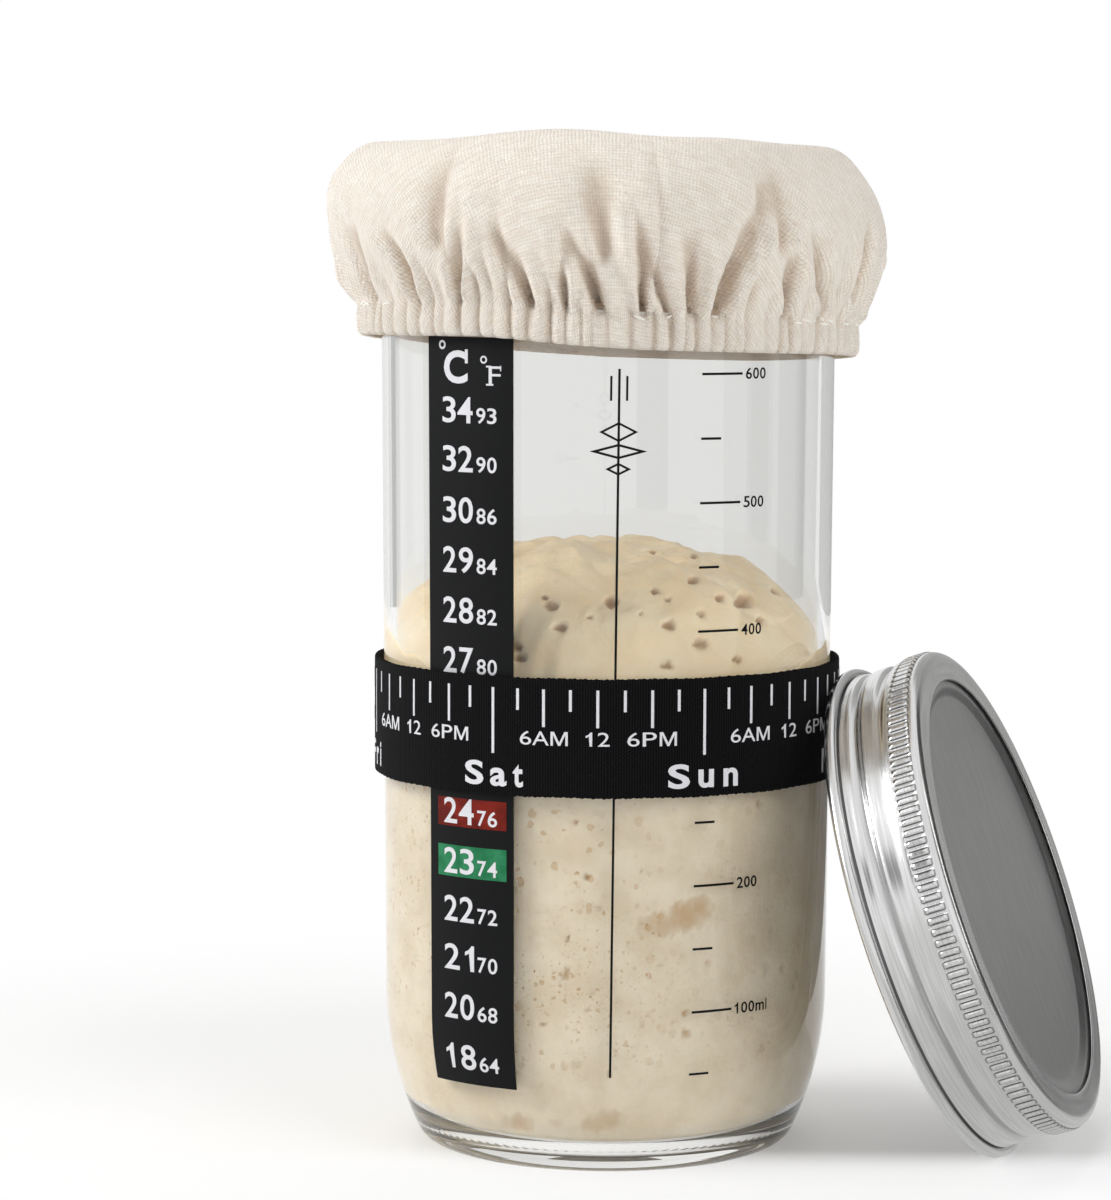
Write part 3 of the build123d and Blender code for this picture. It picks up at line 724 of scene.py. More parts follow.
def draw_small_bubbles():
    """Seeded small bubbles round the side, most of them in loose bands."""
    draw = np.random.default_rng(7)
    chosen = draw.choice(len(SMALL_BANDS), SMALL_BUBBLES, p=SMALL_BAND_SHARES)
    middle, spread = np.array(SMALL_BANDS)[chosen].T
    height = np.clip(draw.normal(middle, spread), 9, 80)
    bearing = draw.uniform(-180, 180, SMALL_BUBBLES)
    width = np.clip(draw.gamma(3.0, 0.12, SMALL_BUBBLES) + 0.26, 0, 1.1)
    return [
        (bearing[i], height[i], width[i], draw.uniform(0.6, 1.2), draw.uniform(-40, 40), width[i] * 0.2)
        for i in range(SMALL_BUBBLES) if min(abs(abs(bearing[i]) - 90), 99) > SIDE_CLEAR
    ]


def push_bubbles(bearing, height, radius, bubbles):
    """How far the side is pushed in at many places, in millimetres."""
    depth = np.zeros(len(bearing))
    for at_bearing, at_height, width, tall, turn, deep in bubbles:
        near = np.abs(height - at_height) < width * 2.2
        across = ((bearing[near] - at_bearing + 180) % 360 - 180) * pi / 180 * radius[near]
        up = height[near] - at_height
        ragged = 0.22 * width
        warp = np.sin(across * 2.3 / width + up * 1.7)
        warp = warp + np.sin(up * 3.1 / width - across * 2.9 + at_bearing)
        across, up = across + ragged * warp * 0.5, up + ragged * warp[::-1] * 0.3
        spin_x = across * cos(radians(turn)) + up * sin(radians(turn))
        spin_y = (up * cos(radians(turn)) - across * sin(radians(turn))) / tall
        off = np.hypot(spin_x, spin_y) / width
        depth[near] = np.maximum(depth[near], deep * np.clip(1 - off ** 2, 0, 1) ** 0.6)
    return depth


print(SMALL_BUBBLES, "small bubbles,", len(SIDE_BUBBLES), "side bubbles and", len(TOP_PITS), "pits on top")

# %% [markdown]
# Finish of the starter
#
# Wet flour and water: a warm cream on top, paler and pinker where it is pressed against the glass, and
# browner in the bubbles, where the surface is older and turned away from the light. That brown, in the
# bubbles and the pores, is partly painted shade, and the cream of the top is partly painted light, for
# the light that the cloth cap lets through. The depth of each bubble is kept on the mesh as an attribute,
# so that the colour follows the pits. The finest pores are too small for the mesh and come from two cell
# patterns, denser in some clouds than in others.

# %% Dough finish


def specks(finish, place, scale, largest):
    """Oval specks of random size, a few of them large; scale is how many cells go into a millimetre."""
    wobble = finish.node("ShaderNodeTexNoise", None, {"Vector": place, "Scale": scale * 1.6}, out=1)
    moved = finish.node("ShaderNodeVectorMath", {"operation": "MULTIPLY_ADD"}, {
        0: wobble, 1: (0.6 / scale,) * 3, 2: place,
    })
    cells = finish.node("ShaderNodeTexVoronoi", {"feature": "F1"}, {"Vector": moved, "Scale": scale})
    colour = Signal(finish, cells.socket.node.outputs["Color"])
    chance = finish.node("ShaderNodeSeparateColor", None, {0: colour})
    return (chance ** 3.0 * largest - cells).between(0.0, 0.09)


def make_dough_finish():
    dough = Finish("dough", {
        "Roughness": 0.42, "IOR": 1.38, "Subsurface Weight": 0.2, "Subsurface Scale": 0.002,
        "Subsurface Radius": (1.0, 0.6, 0.35),
    })
    place = dough.place()
    across, _, height = dough.axes(place)
    mottle = dough.noise(place, 0.11, 4.0, 0.6)
    cloud = dough.noise(place, 0.045, 3.0, 0.6).between(0.36, 0.56)
    sparse = dough.noise(place, 0.07, 2.0).between(0.42, 0.56)
    left = 1 - across.between(-2.0, 12.0) * 0.55
    side = (1 - height.between(82.0, 90.0) * 0.75) * height.between(10.0, 24.0) * left
    pore = specks(dough, place, 0.5, 0.5) * sparse + specks(dough, place, 0.95, 0.5) * cloud
    pore = (pore + specks(dough, place, 2.1, 0.5) * cloud * 0.8) * side
    top = height.between(80.0, 90.0)
    pressed = dough.blend(mottle.between(0.3, 0.7), shade("E3D6BF"), shade("D6C6AB"))
    # The top's cream is partly painted light, for the light that the cloth cap lets through.
    risen_and_lit = dough.blend(mottle.between(0.3, 0.7), shade("FCE8C4"), shade("F6DCB2"))
    cavity = dough.blend(top, shade("BC935C"), shade("A47A48"))
    # Bubbles and pores: brown that is partly the older surface and partly painted shade.
    bubble_tone_and_shade = (dough.attribute("pit") + pore * 0.55).between(0.0, 1.1)
    dough.feed("Base Color", dough.blend(bubble_tone_and_shade, dough.blend(top, pressed, risen_and_lit), cavity))
    grain = dough.noise(place, 1.3, 3.0)
    dough.bump(grain * 0.45 + mottle * 0.6 - pore * 0.4, 0.5, 0.6)
    return dough


dough_finish = make_dough_finish()

# %% The risen dough


def push_top_pits(points, pit, front):
    """Pushes the bubbles of the top in, toward the middle of the dough, and keeps how deep they are."""
    centre = np.array((0, 4.0, 78.0))
    for x, height, width, deep in TOP_PITS:
        across, up = points[front, 0] - x, (points[front, 2] - height) / 0.66
        warp = np.sin(across * 2.1 / width + up * 1.3 + x)
        warp = warp + np.sin(up * 2.7 / width + height - across * 1.9)
        off = np.hypot(across + 0.13 * width * warp, up - 0.1 * width * warp) / (1.15 * width)
        dip = deep * np.clip(1 - off ** 2, 0, 1) ** 0.6
        inward = centre - points[front]
        points[front] += inward / np.linalg.norm(inward, axis=1)[:, None] * dip[:, None]
        pit[front] = np.maximum(pit[front], dip / deep)


def make_dough():
    """Turned body of dough, with its lumps and bubbles."""
    bm = spin_outline(dough_outline(), DOUGH_STEPS)
    points = np.array([vert.co for vert in bm.verts]) / MM
    radius = np.hypot(points[:, 0], points[:, 1])
    bearing = np.degrees(np.arctan2(points[:, 0], -points[:, 1]))
    edge = side_radius(DOUGH_EDGE) + DOUGH_PRESS
    top = points[:, 2] > DOUGH_EDGE - DOUGH_PRESS - 0.001
    high = (points[:, 2] > DOUGH_FOOT) & ~top
    rim = edge_height(bearing[high])
    share = (points[high, 2] - DOUGH_FOOT) / (DOUGH_EDGE - DOUGH_PRESS - DOUGH_FOOT)
    points[high, 2] = DOUGH_FOOT + (rim - DOUGH_FOOT) * share
    reach = np.array([side_radius(height) for height in points[high, 2]]) + DOUGH_PRESS
    points[high, :2] *= (reach / radius[high])[:, None]
    side = (points[:, 2] > FLOOR_HEIGHT + SIDE_FROM) & ~top & (radius > SIDE_INNER)
    pit = np.zeros(len(points))
    bubbles = list(SIDE_BUBBLES) + draw_small_bubbles()
    depth = push_bubbles(bearing[side], points[side, 2], radius[side], bubbles)
    pit[side] = np.clip(depth / DEEP_BUBBLE, 0, 1) * 0.8
    points[side, :2] *= (1 - depth / radius[side])[:, None]
    points[top, 2] = dough_top(points[top, :2], edge)
    push_top_pits(points, pit, np.flatnonzero(top & (points[:, 1] < -3)))
    layer = bm.verts.layers.float.new("pit")
    for vert, point, deep in zip(bm.verts, points, pit):
        vert.co = Vector(point) * MM
        vert[layer] = deep
    return finish_piece("risen_starter", bm, dough_finish, "jar", "starter", sharp=180)


make_dough()

# %% [markdown]
# Print on a round surface
#
# Marks and figures are laid out flat first: x to the right along the curve, z up, and the thickness of
# the ink in y. Text is a font curve turned into a mesh and stretched to a measured height and width.
# The flat layout is then sliced into narrow strips, so that it can bend, and wrapped round the surface
# that it is printed on. Real ink has a thickness too, so each mark is a closed sliver and not a decal.

# %% Print helpers
ARC_RADIUS = 40.0
INK = 0.03
SLICE = 1.4
RISE_SLICE = 3.0
# Left side, right side and advance of each character, and the height of its top, as shares of the type
# size and of a capital's height. Plain upright lettering is set by these, whatever the font's own fit.
LETTER_FIT = {
    "0": (0.04, 0.51, 0.556, 1), "1": (0.11, 0.37, 0.556, 1), "2": (0.03, 0.505, 0.556, 1),
    "3": (0.04, 0.51, 0.556, 1), "4": (0.012, 0.51, 0.556, 1), "5": (0.04, 0.515, 0.556, 1),
    "6": (0.04, 0.51, 0.556, 1), "7": (0.045, 0.51, 0.556, 1), "8": (0.04, 0.51, 0.556, 1),
    "9": (0.04, 0.51, 0.556, 1), "A": (0.0, 0.67, 0.667, 1), "M": (0.074, 0.758, 0.833, 1),
    "P": (0.077, 0.625, 0.667, 1), "C": (0.05, 0.68, 0.722, 1), "F": (0.08, 0.573, 0.611, 1),
    "S": (0.045, 0.62, 0.667, 1), "T": (0.02, 0.59, 0.611, 1), "W": (0.01, 0.935, 0.944, 1),
    "a": (0.036, 0.515, 0.556, 0.75), "d": (0.034, 0.49, 0.56, 1.02), "e": (0.037, 0.517, 0.556, 0.75),
    "h": (0.066, 0.492, 0.556, 1.02), "i": (0.066, 0.17, 0.25, 1.02), "l": (0.064, 0.152, 0.222, 1.02),
    "m": (0.066, 0.768, 0.833, 0.75), "n": (0.066, 0.493, 0.58, 0.75), "o": (0.036, 0.52, 0.556, 0.75),
    "r": (0.065, 0.347, 0.35, 0.75), "t": (0.017, 0.3, 0.34, 0.93), "u": (0.064, 0.492, 0.58, 0.75),
}
# The built-in font has no flag on its 1 and spreads its M, so these two are drawn, in a unit square.
DRAWN_GLYPHS = {
    "1": ((1, 0), (1, 1), (0.74, 1), (0.42, 0.84), (0, 0.75), (0, 0.6), (0.6, 0.73), (0.6, 0)),
    "M": (
        (0, 0), (0, 1), (0.2, 1), (0.5, 0.22), (0.8, 1), (1, 1), (1, 0), (0.86, 0), (0.86, 0.78),
        (0.56, 0), (0.44, 0), (0.14, 0.78), (0.14, 0),
    ),
}
glyph_store = {}


def bar(bm, left, right, low, high, shear=0.0):
    """Adds a straight mark; shear moves its top end to the right."""
    made = bmesh.ops.create_cube(bm, size=1.0)["verts"]
    for vert in made:
        up = vert.co.z + 0.5
        vert.co.x = left + (right - left) * (vert.co.x + 0.5) + shear * up
        vert.co.z = low + (high - low) * up


def drawn_glyph(points):
    """A drawn character as points (across, depth, up) and faces."""
    bm = bmesh.new()
    front = [bm.verts.new((x, -0.5, z)) for x, z in points]
    back = [bm.verts.new((x, 0.5, z)) for x, z in points]
    bm.faces.new(front)
    bm.faces.new(back[::-1])
    for i in range(len(points)):
        following = (i + 1) % len(points)
        bm.faces.new((front[i], back[i], back[following], front[following]))
    bmesh.ops.triangulate(bm, faces=bm.faces)
    return bm


def font_glyph(letter, weight):
    """A character of the built-in font as a closed mesh, with points (across, depth, up)."""
    curve = bpy.data.curves.new("lettering", "FONT")
    curve.body, curve.size, curve.offset, curve.extrude = letter, 1.0, weight, 0.5
    curve.resolution_u = 5
    holder = bpy.data.objects.new("lettering", curve)
    bpy.context.scene.collection.objects.link(holder)
    mesh = bpy.data.meshes.new_from_object(holder.evaluated_get(bpy.context.evaluated_depsgraph_get()))
    bm = bmesh.new()
    bm.from_mesh(mesh)
    for vert in bm.verts:
        vert.co = (vert.co.x, -vert.co.z, vert.co.y)
    bpy.data.objects.remove(holder)
    bpy.data.meshes.remove(mesh)
    bpy.data.curves.remove(curve)
    return bm


def glyph(letter, weight):
    """Points of a character in a unit square, and its faces; made once and kept."""
    key = (letter, weight)
    if key not in glyph_store:
        bm = drawn_glyph(DRAWN_GLYPHS[letter]) if letter in DRAWN_GLYPHS else font_glyph(letter, weight)
        points = np.array([vert.co for vert in bm.verts])
        low, size = points.min(axis=0), np.ptp(points, axis=0)
        points[:, 0] = (points[:, 0] - low[0]) / size[0]
        points[:, 2] = (points[:, 2] - low[2]) / size[2]
        bm.verts.index_update()
        glyph_store[key] = points, [[vert.index for vert in face.verts] for face in bm.faces]
        bm.free()
    return glyph_store[key]


def lettering(bm, words, left, low, width, cap, weight=0.0, tracking=0.0):
    """Adds text, set to a width and a capital height; its lower left corner is at (left, low)."""
    boxes, pen = [], 0.0
    for letter in words:
        start, end, advance, top = LETTER_FIT[letter]
        boxes.append((letter, pen + start, pen + end, top))
        pen += advance + tracking
    first, last = boxes[0][1], boxes[-1][2]
    stretch = width / (last - first)
    for letter, start, end, top in boxes:
        points, faces = glyph(letter, weight)
        verts = [
            bm.verts.new((left + (start - first + (end - start) * x) * stretch, y, low + z * top * cap))
            for x, y, z in points
        ]
        for face in faces:
            bm.faces.new([verts[i] for i in face])


def open_mark(bm, middle, height, outline, outer, inner):
    """Adds a flat outline with a hole of the same shape, such as a degree sign or a diamond."""
    loops = [
        [bm.verts.new((middle + share * x, side, height + share * z)) for x, z in outline]
        for share, side in ((outer, -0.5), (outer, 0.5), (inner, 0.5), (inner, -0.5))
    ]
    for first, second in zip(loops, loops[1:] + loops[:1]):
        for i in range(len(outline)):
            following = (i + 1) % len(outline)
            bm.faces.new((first[i], first[following], second[following], second[i]))


def face_layout(bm):
    """Turns the faces of flat marks outward: their two flat sides first, then the thin walls between."""
    bmesh.ops.recalc_face_normals(bm, faces=bm.faces)
    sides = {face for face in bm.faces if abs(face.normal.y) > 0.9}
    bmesh.ops.reverse_faces(bm, faces=[face for face in sides if face.normal.y * face.verts[0].co.y < 0])
    wrong = []
    for wall in set(bm.faces) - sides:
        for loop in wall.loops:
            pair = loop.edge.link_loops
            starts = [other.vert for other in pair if other.face in sides]
            if len(pair) == 2 and starts:
                if starts[0] == loop.vert:
                    wrong.append(wall)
                break
    bmesh.ops.reverse_faces(bm, faces=wrong)


def slice_layout(bm):
    """Cuts a flat layout into narrow strips, so that it can bend."""
    bmesh.ops.remove_doubles(bm, verts=bm.verts, dist=1e-4)
    for axis, step in ((0, SLICE), (2, RISE_SLICE)):
        places = [vert.co[axis] for vert in bm.verts]
        normal = Vector([float(i == axis) for i in range(3)])
        for place in np.arange(np.ceil(min(places) / step) * step, max(places), step):
            geometry = bm.verts[:] + bm.edges[:] + bm.faces[:]
            bmesh.ops.bisect_plane(bm, geom=geometry, plane_co=normal * place, plane_no=normal, dist=1e-5)
    face_layout(bm)
    return bm


def wrap(layout, surface, turn=0.0, thickness=INK, arc_radius=ARC_RADIUS, target=None):
    """Bends a sliced layout round the axis, turned by an angle, and adds it to a target bmesh.

    The bend mirrors the layout, so each face gets its points in the opposite order.
    """
    target = target or bmesh.new()
    copies = {}
    for vert in layout.verts:
        angle = vert.co.x / arc_radius + turn
        radius = surface(vert.co.z) + thickness * (vert.co.y + 0.6)
        copies[vert] = target.verts.new(Vector((sin(angle) * radius, -cos(angle) * radius, vert.co.z)) * MM)
    for face in layout.faces:
        target.faces.new([copies[vert] for vert in reversed(list(face.verts))])
    return target


def ink_finish(name, colour, roughness=0.5):
    """Flat ink with faint uneven cover."""
    ink = Finish(name, {"Roughness": roughness, "Base Color": shade(colour), "Specular IOR Level": 0.15})
    wear = ink.noise(ink.place(), 0.9, 2.0).between(0.3, 0.7)
    ink.feed("Roughness", wear * 0.12 + (roughness - 0.06))
    return ink


black_ink = ink_finish("black_ink", "080808", 0.35)
pale_ink = ink_finish("pale_ink", "DADADE", 0.5)
print("print helpers ready")

# %% [markdown]
# Scale on the glass
#
# The jar carries a scale in millilitres, printed black: a long tick for each hundred, a short one for
# each fifty, and an upright line with two short bars by its top. The heights follow the volume inside.
# The whole print leans a very little, as it does on the photographed jar. Three plain diamonds stand on
# the upright line.

# %% Scale and line on the glass
SCALE_FOOT, SCALE_STEP = 7.41, 0.2199
PRINT_LEAN, LEAN_HEIGHT = 0.0089, 80.0
LINE_WIDTH = 0.42
TICK_LEFT, LONG_TICK, SHORT_TICK = 15.7, 7.9, 3.8
NUMBER_LEFT, NUMBER_CAP, NUMBER_WIDTH, UNIT_WIDTH, NUMBER_WEIGHT = 24.3, 1.95, 4.4, 7.4, 0.014
LINE_PLACE, LINE_LOW, LINE_HIGH = 1.34, 18.3, 140.3
SIDE_BARS, SIDE_BAR_LOW, SIDE_BAR_HIGH, SIDE_BAR_SHARE = (-1.35, 1.33), 134.9, 139.1, 0.9
DIAMONDS = ((129.6, 3.3, 1.7), (126.3, 4.9, 1.3), (123.3, 2.2, 1.1))


def scale_layout():
    """Ticks, numbers, the upright line with its bars, and the diamonds, each as heights and half sizes."""
    bm = bmesh.new()
    half = LINE_WIDTH / 2
    for volume in range(50, 601, 50):
        height = SCALE_FOOT + SCALE_STEP * volume
        length = SHORT_TICK if volume % 100 else LONG_TICK
        bar(bm, TICK_LEFT, TICK_LEFT + length, height - half, height + half)
        if volume % 100 == 0:
            words, width = ("100ml", UNIT_WIDTH) if volume == 100 else (str(volume), NUMBER_WIDTH)
            low = height - NUMBER_CAP / 2
            lettering(bm, words, NUMBER_LEFT, low, width, NUMBER_CAP, NUMBER_WEIGHT)
    bar(bm, LINE_PLACE - half, LINE_PLACE + half, LINE_LOW, LINE_HIGH)
    reach = half * SIDE_BAR_SHARE
    for place in SIDE_BARS:
        bar(bm, LINE_PLACE + place - reach, LINE_PLACE + place + reach, SIDE_BAR_LOW, SIDE_BAR_HIGH)
    for height, half_width, half_height in DIAMONDS:
        corners = [(half_width, 0), (0, half_height), (-half_width, 0), (0, -half_height)]
        open_mark(bm, LINE_PLACE, height, corners, 1, 1 - LINE_WIDTH / half_height)
    slice_layout(bm)
    for vert in bm.verts:
        vert.co.x += PRINT_LEAN * (vert.co.z - LEAN_HEIGHT)
    return bm


finish_piece("printed_scale", wrap(scale_layout(), body_radius), black_ink, "jar", faced=True)

# %% [markdown]
# Temperature strip
#
# A liquid crystal strip is a black film with windows that light up one above the other. Each row has a
# large figure in one unit and a small one in the other. Two rows are lit here: a dull red and a green.

# %% Figures and lit cells of the strip
STRIP_LIFT = 0.41
STRIP_ROWS = (
    (34, 93, 132.9), (32, 90, 124.5), (30, 86, 115.7), (29, 84, 107.1), (28, 82, 98.4), (27, 80, 89.75),
    (26, 78, 81.1), (25, 77, 72.3), (24, 76, 63.45), (23, 74, 54.7), (22, 72, 46.3), (21, 70, 37.8),
    (20, 68, 29.2), (18, 64, 20.25),
)
FIGURE_WEIGHT = 0.012
LARGE_LEFT, LARGE_WIDTH, LARGE_CAP = -30.9, 6.75, 4.5
SMALL_LEFT, SMALL_WIDTH, SMALL_CAP = -23.4, 4.0, 2.7
# Left, lower edge, width, height and weight of each unit letter; left, right, lower and upper edge of each
# serif; middle, height, outer and inner radius of each degree ring.
UNIT_LETTERS = (("C", -30.5, 137.4, 5.3, 5.7, 0.03), ("F", -20.9, 137.3, 2.3, 3.2, 0.0))
SERIFS = (
    (-25.75, -25.15, 140.9, 143.3), (-21.4, -20.0, 137.2, 137.5), (-21.4, -20.4, 140.3, 140.6),
    (-18.7, -18.5, 139.7, 140.6),
)
DEGREE_RINGS = ((-30.9, 144.0, 0.8, 0.42), (-21.9, 141.6, 0.68, 0.38))
RING_STEPS = 20
LIT_LEFT, LIT_RIGHT, LIT_THICKNESS = -32.4, -17.6, 0.012
LIT_CELLS = (
    ("lit_cell_red", "7C1F12", "5E150C", 60.7, 65.7), ("lit_cell_green", "1F6E46", "2F8258", 51.9, 57.4),
)


def strip_surface(height):
    return body_radius(height) + STRIP_LIFT


def strip_layout():
    """Figures, the two unit letters with their serifs, and the degree rings."""
    bm = bmesh.new()
    for large, small, height in STRIP_ROWS:
        low = height - LARGE_CAP / 2
        lettering(bm, str(large), LARGE_LEFT, low, LARGE_WIDTH, LARGE_CAP, FIGURE_WEIGHT)
        lettering(bm, str(small), SMALL_LEFT, low, SMALL_WIDTH, SMALL_CAP, FIGURE_WEIGHT)
    for letter in UNIT_LETTERS:
        lettering(bm, *letter)
    for serif in SERIFS:
        bar(bm, *serif)
    circle = [(cos(2 * pi * i / RING_STEPS), sin(2 * pi * i / RING_STEPS)) for i in range(RING_STEPS)]
    for middle, height, outer, inner in DEGREE_RINGS:
        open_mark(bm, middle, height, circle, outer, inner)
    return slice_layout(bm)


finish_piece(
    "strip_figures", wrap(strip_layout(), strip_surface), pale_ink, "jar", faced=True
)
for name, colour, second_colour, low, high in LIT_CELLS:
    cell = bmesh.new()
    bar(cell, LIT_LEFT, LIT_RIGHT, low, high)
    slice_layout(cell)
    lit = Finish(name, {"Roughness": 0.45, "Specular IOR Level": 0.12})
    cloud = lit.noise(lit.place(), 0.3, 2.0).between(0.35, 0.65)
    lit.feed("Base Color", lit.blend(cloud, shade(colour), shade(second_colour)))
    lit_mesh = wrap(cell, strip_surface, thickness=LIT_THICKNESS)
    finish_piece(name, lit_mesh, lit, "jar", faced=True)

film = Finish("strip_film", {"Roughness": 0.5, "Base Color": shade("0A0B0D"), "Specular IOR Level": 0.13})
film.bump(film.noise(film.place(), 0.35, 2.0), 0.05, 0.4)


dress("thermometer_strip", film)

# %% [markdown]
# Day band
#
# A loop of woven elastic, about two centimetres wide, whose end laps over at the back and is sewn down.
# It is turned from a thin rounded section. Its edges waver a little where the weft turns back, and the
# warp ribs and the dotted weft rows come from a pattern laid on the arc and the height. Hours, ticks and
# the names of the days are printed on it in white, seven days to the round.

# %% Sizes of the day band, in millimetres
band_low, band_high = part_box("day_band")
BAND_OUTER = (band_high[0] - band_low[0]) / 2 / MM
BAND_BOTTOM, BAND_TOP = band_low[2] / MM, band_high[2] / MM
BAND_THICKNESS, BAND_EDGE = 0.85, 0.36
BAND_STEPS = 864
RIB_PITCH, WEFT_PITCH = 0.46, 0.62
LAP_LENGTH, LAP_MARGIN, LAP_EDGE, LAP_SINK = 16.0, 0.4, 0.12, 0.04


def band_wave(angle, height):
    """Small waver of the woven edges."""
    return 0.07 * sin(angle * 283) + 0.05 * sin(angle * 131 + height) + 0.06 * sin(angle * 17)


def band_outline():
    """Section of the webbing: rounded corners outside, a softer edge inside."""
    inner, reach = BAND_OUTER - BAND_THICKNESS, BAND_OUTER - BAND_EDGE
    turns = (0.3, 0.8, 1.3)
    foot = (inner + 0.1, BAND_BOTTOM + 0.05)
    low = [(reach + BAND_EDGE * sin(a), BAND_BOTTOM + BAND_EDGE - BAND_EDGE * cos(a)) for a in turns]
    face = [(BAND_OUTER, height) for height in np.linspace(BAND_BOTTOM + 0.8, BAND_TOP - 0.8, 8)]
    high = [(reach + BAND_EDGE * sin(a), BAND_TOP - BAND_EDGE + BAND_EDGE * cos(a)) for a in turns[::-1]]
    head = [(inner + 0.1, BAND_TOP - 0.05), (inner, BAND_TOP - 0.4)]
    back = [(inner, height) for height in np.linspace(BAND_TOP - 3, BAND_BOTTOM + 3, 3)]
    return [foot] + low + face + high + head + back + [(inner, BAND_BOTTOM + 0.4), foot]


def make_band():
    """The loop and the lapped end, in one woven piece."""
    bm = spin_outline(band_outline(), BAND_STEPS)
    middle = (BAND_BOTTOM + BAND_TOP) / 2 * MM
    for vert in bm.verts:
        if abs(vert.co.z - middle) > 0.45 * (BAND_TOP - BAND_BOTTOM) * MM:
            vert.co.z += band_wave(atan2(vert.co.y, vert.co.x), vert.co.z / MM) * MM
    lap = bmesh.new()
    bar(lap, -LAP_LENGTH / 2, LAP_LENGTH / 2, BAND_BOTTOM + LAP_MARGIN, BAND_TOP - LAP_MARGIN)
    bmesh.ops.bevel(
        lap, geom=lap.edges[:], offset=LAP_EDGE, segments=2, profile=0.5, affect="EDGES", material=-1,
        clamp_overlap=True,
    )
    slice_layout(lap)
    wrap(lap, lambda height: BAND_OUTER - LAP_SINK, pi, BAND_THICKNESS, BAND_OUTER, target=bm)
    return bm


def make_webbing():
    webbing = Finish("black_webbing", {
        "Roughness": 0.8, "Specular IOR Level": 0.06, "Sheen Weight": 0.01,
    })
    place = webbing.place()
    across, depth, height = webbing.axes(place)
    arc_length = across.math("ARCTAN2", depth) * BAND_OUTER
    rib = (arc_length * (2 * pi / RIB_PITCH)).math("SINE") * 0.5 + 0.5
    weft = (height * (2 * pi / WEFT_PITCH) + arc_length * (pi / RIB_PITCH)).math("SINE") * 0.5 + 0.5
    relief_and_sheen = rib * 0.6 + weft * 0.3 + webbing.noise(place, 3.0, 2.0) * 0.3
    # Painted sheen: the crests of the ribs and weft rows are coloured lighter than the black between them.
    webbing.feed("Base Color", webbing.blend(relief_and_sheen.between(0.3, 1.1), shade("050506"), shade("19191B")))
    webbing.bump(relief_and_sheen, 0.16, 0.9)
    return webbing


finish_piece("day_band_webbing", make_band(), make_webbing(), "day_band", "day_band")

# %% Marks of the day band
SATURDAY_TURN = radians(-27.87)
DAY_TURN = 2 * pi / 7
DAY_ARC = DAY_TURN * BAND_OUTER
TICK_TOP, SHORT_END, HOUR_END, DAY_END = 85.7, 82.0, 79.25, 74.35
BAND_TICK, TICKS_A_DAY = 0.5, 8
HOUR_LABELS = (("6AM", 2, 8.5), ("12", 4, 4.1), ("6PM", 6, 8.6))
HOUR_LOW, HOUR_CAP = 76.1, 2.4
DAY_LOW, DAY_CAP, DAY_WEIGHT, DAY_TRACKING = 68.65, 4.25, 0.026, 0.12
DAY_WIDTHS = {"Sat": 11.4, "Sun": 13.2, "Mon": 14.6, "Tue": 12.6, "Wed": 14.8, "Thu": 12.6, "Fri": 8.8}
BAND_INK, BAND_LIFT = 0.05, 0.01


def band_surface(height):
    return BAND_OUTER + BAND_LIFT


def hours_layout():
    """Ticks and hour labels of one day, from its own line to the next."""
    bm = bmesh.new()
    for step in range(TICKS_A_DAY):
        place = DAY_ARC * step / TICKS_A_DAY
        low = DAY_END if step == 0 else (SHORT_END if step % 2 else HOUR_END)
        bar(bm, place - BAND_TICK / 2, place + BAND_TICK / 2, low, TICK_TOP)
    for words, step, width in HOUR_LABELS:
        lettering(bm, words, DAY_ARC * step / TICKS_A_DAY - width / 2, HOUR_LOW, width, HOUR_CAP)
    return slice_layout(bm)


def make_band_marks():
    marks = bmesh.new()
    hours = hours_layout()
    for index, (name, width) in enumerate(DAY_WIDTHS.items()):
        turn = SATURDAY_TURN + DAY_TURN * index
        wrap(hours, band_surface, turn, BAND_INK, BAND_OUTER, target=marks)
        label = bmesh.new()
        lettering(label, name, -width / 2, DAY_LOW, width, DAY_CAP, DAY_WEIGHT, DAY_TRACKING)
        slice_layout(label)
        wrap(label, band_surface, turn, BAND_INK, BAND_OUTER, target=marks)
    return marks


finish_piece("day_band_marks", make_band_marks(), pale_ink, "day_band", faced=True)

# %% [markdown]
# Screw band
#
# The screw band is one strip of tinplate, rolled and pressed: a curled lower edge, a skirt with a thread
# groove that climbs as it goes round, a row of knurls under the corner, and a flange that leaves the
# middle open. It is turned from the outline of the sheet, both sides, in the lid's own frame, with
# enough steps to give each knurl a rounded crest. The groove is then pressed into both sides of the
# sheet by formula, and the knurls into the outer side, and the ring is placed where it leans. A small
# dent in bright metal mirrors the dents beside it and lies in their shade, so the finish paints dark
# lines of shade and reflection on the flanks of the knurls, at the root of the curl and along the groove.

# %% Where the lid leans
LID_CENTRE = Vector((56.719, -9.04, 42.3))
LID_AXIS = Vector((0.90025, -0.27352, 0.33874)).normalized()
LID_FACING = radians(-16.9)
lid_across = Vector((-sin(LID_FACING), cos(LID_FACING), 0))
lid_turn = Matrix((lid_across, LID_AXIS.cross(lid_across), LID_AXIS)).transposed().to_4x4()
lid_place = Matrix.Translation(LID_CENTRE * MM) @ lid_turn
print("lid axis", [round(value, 3) for value in LID_AXIS])

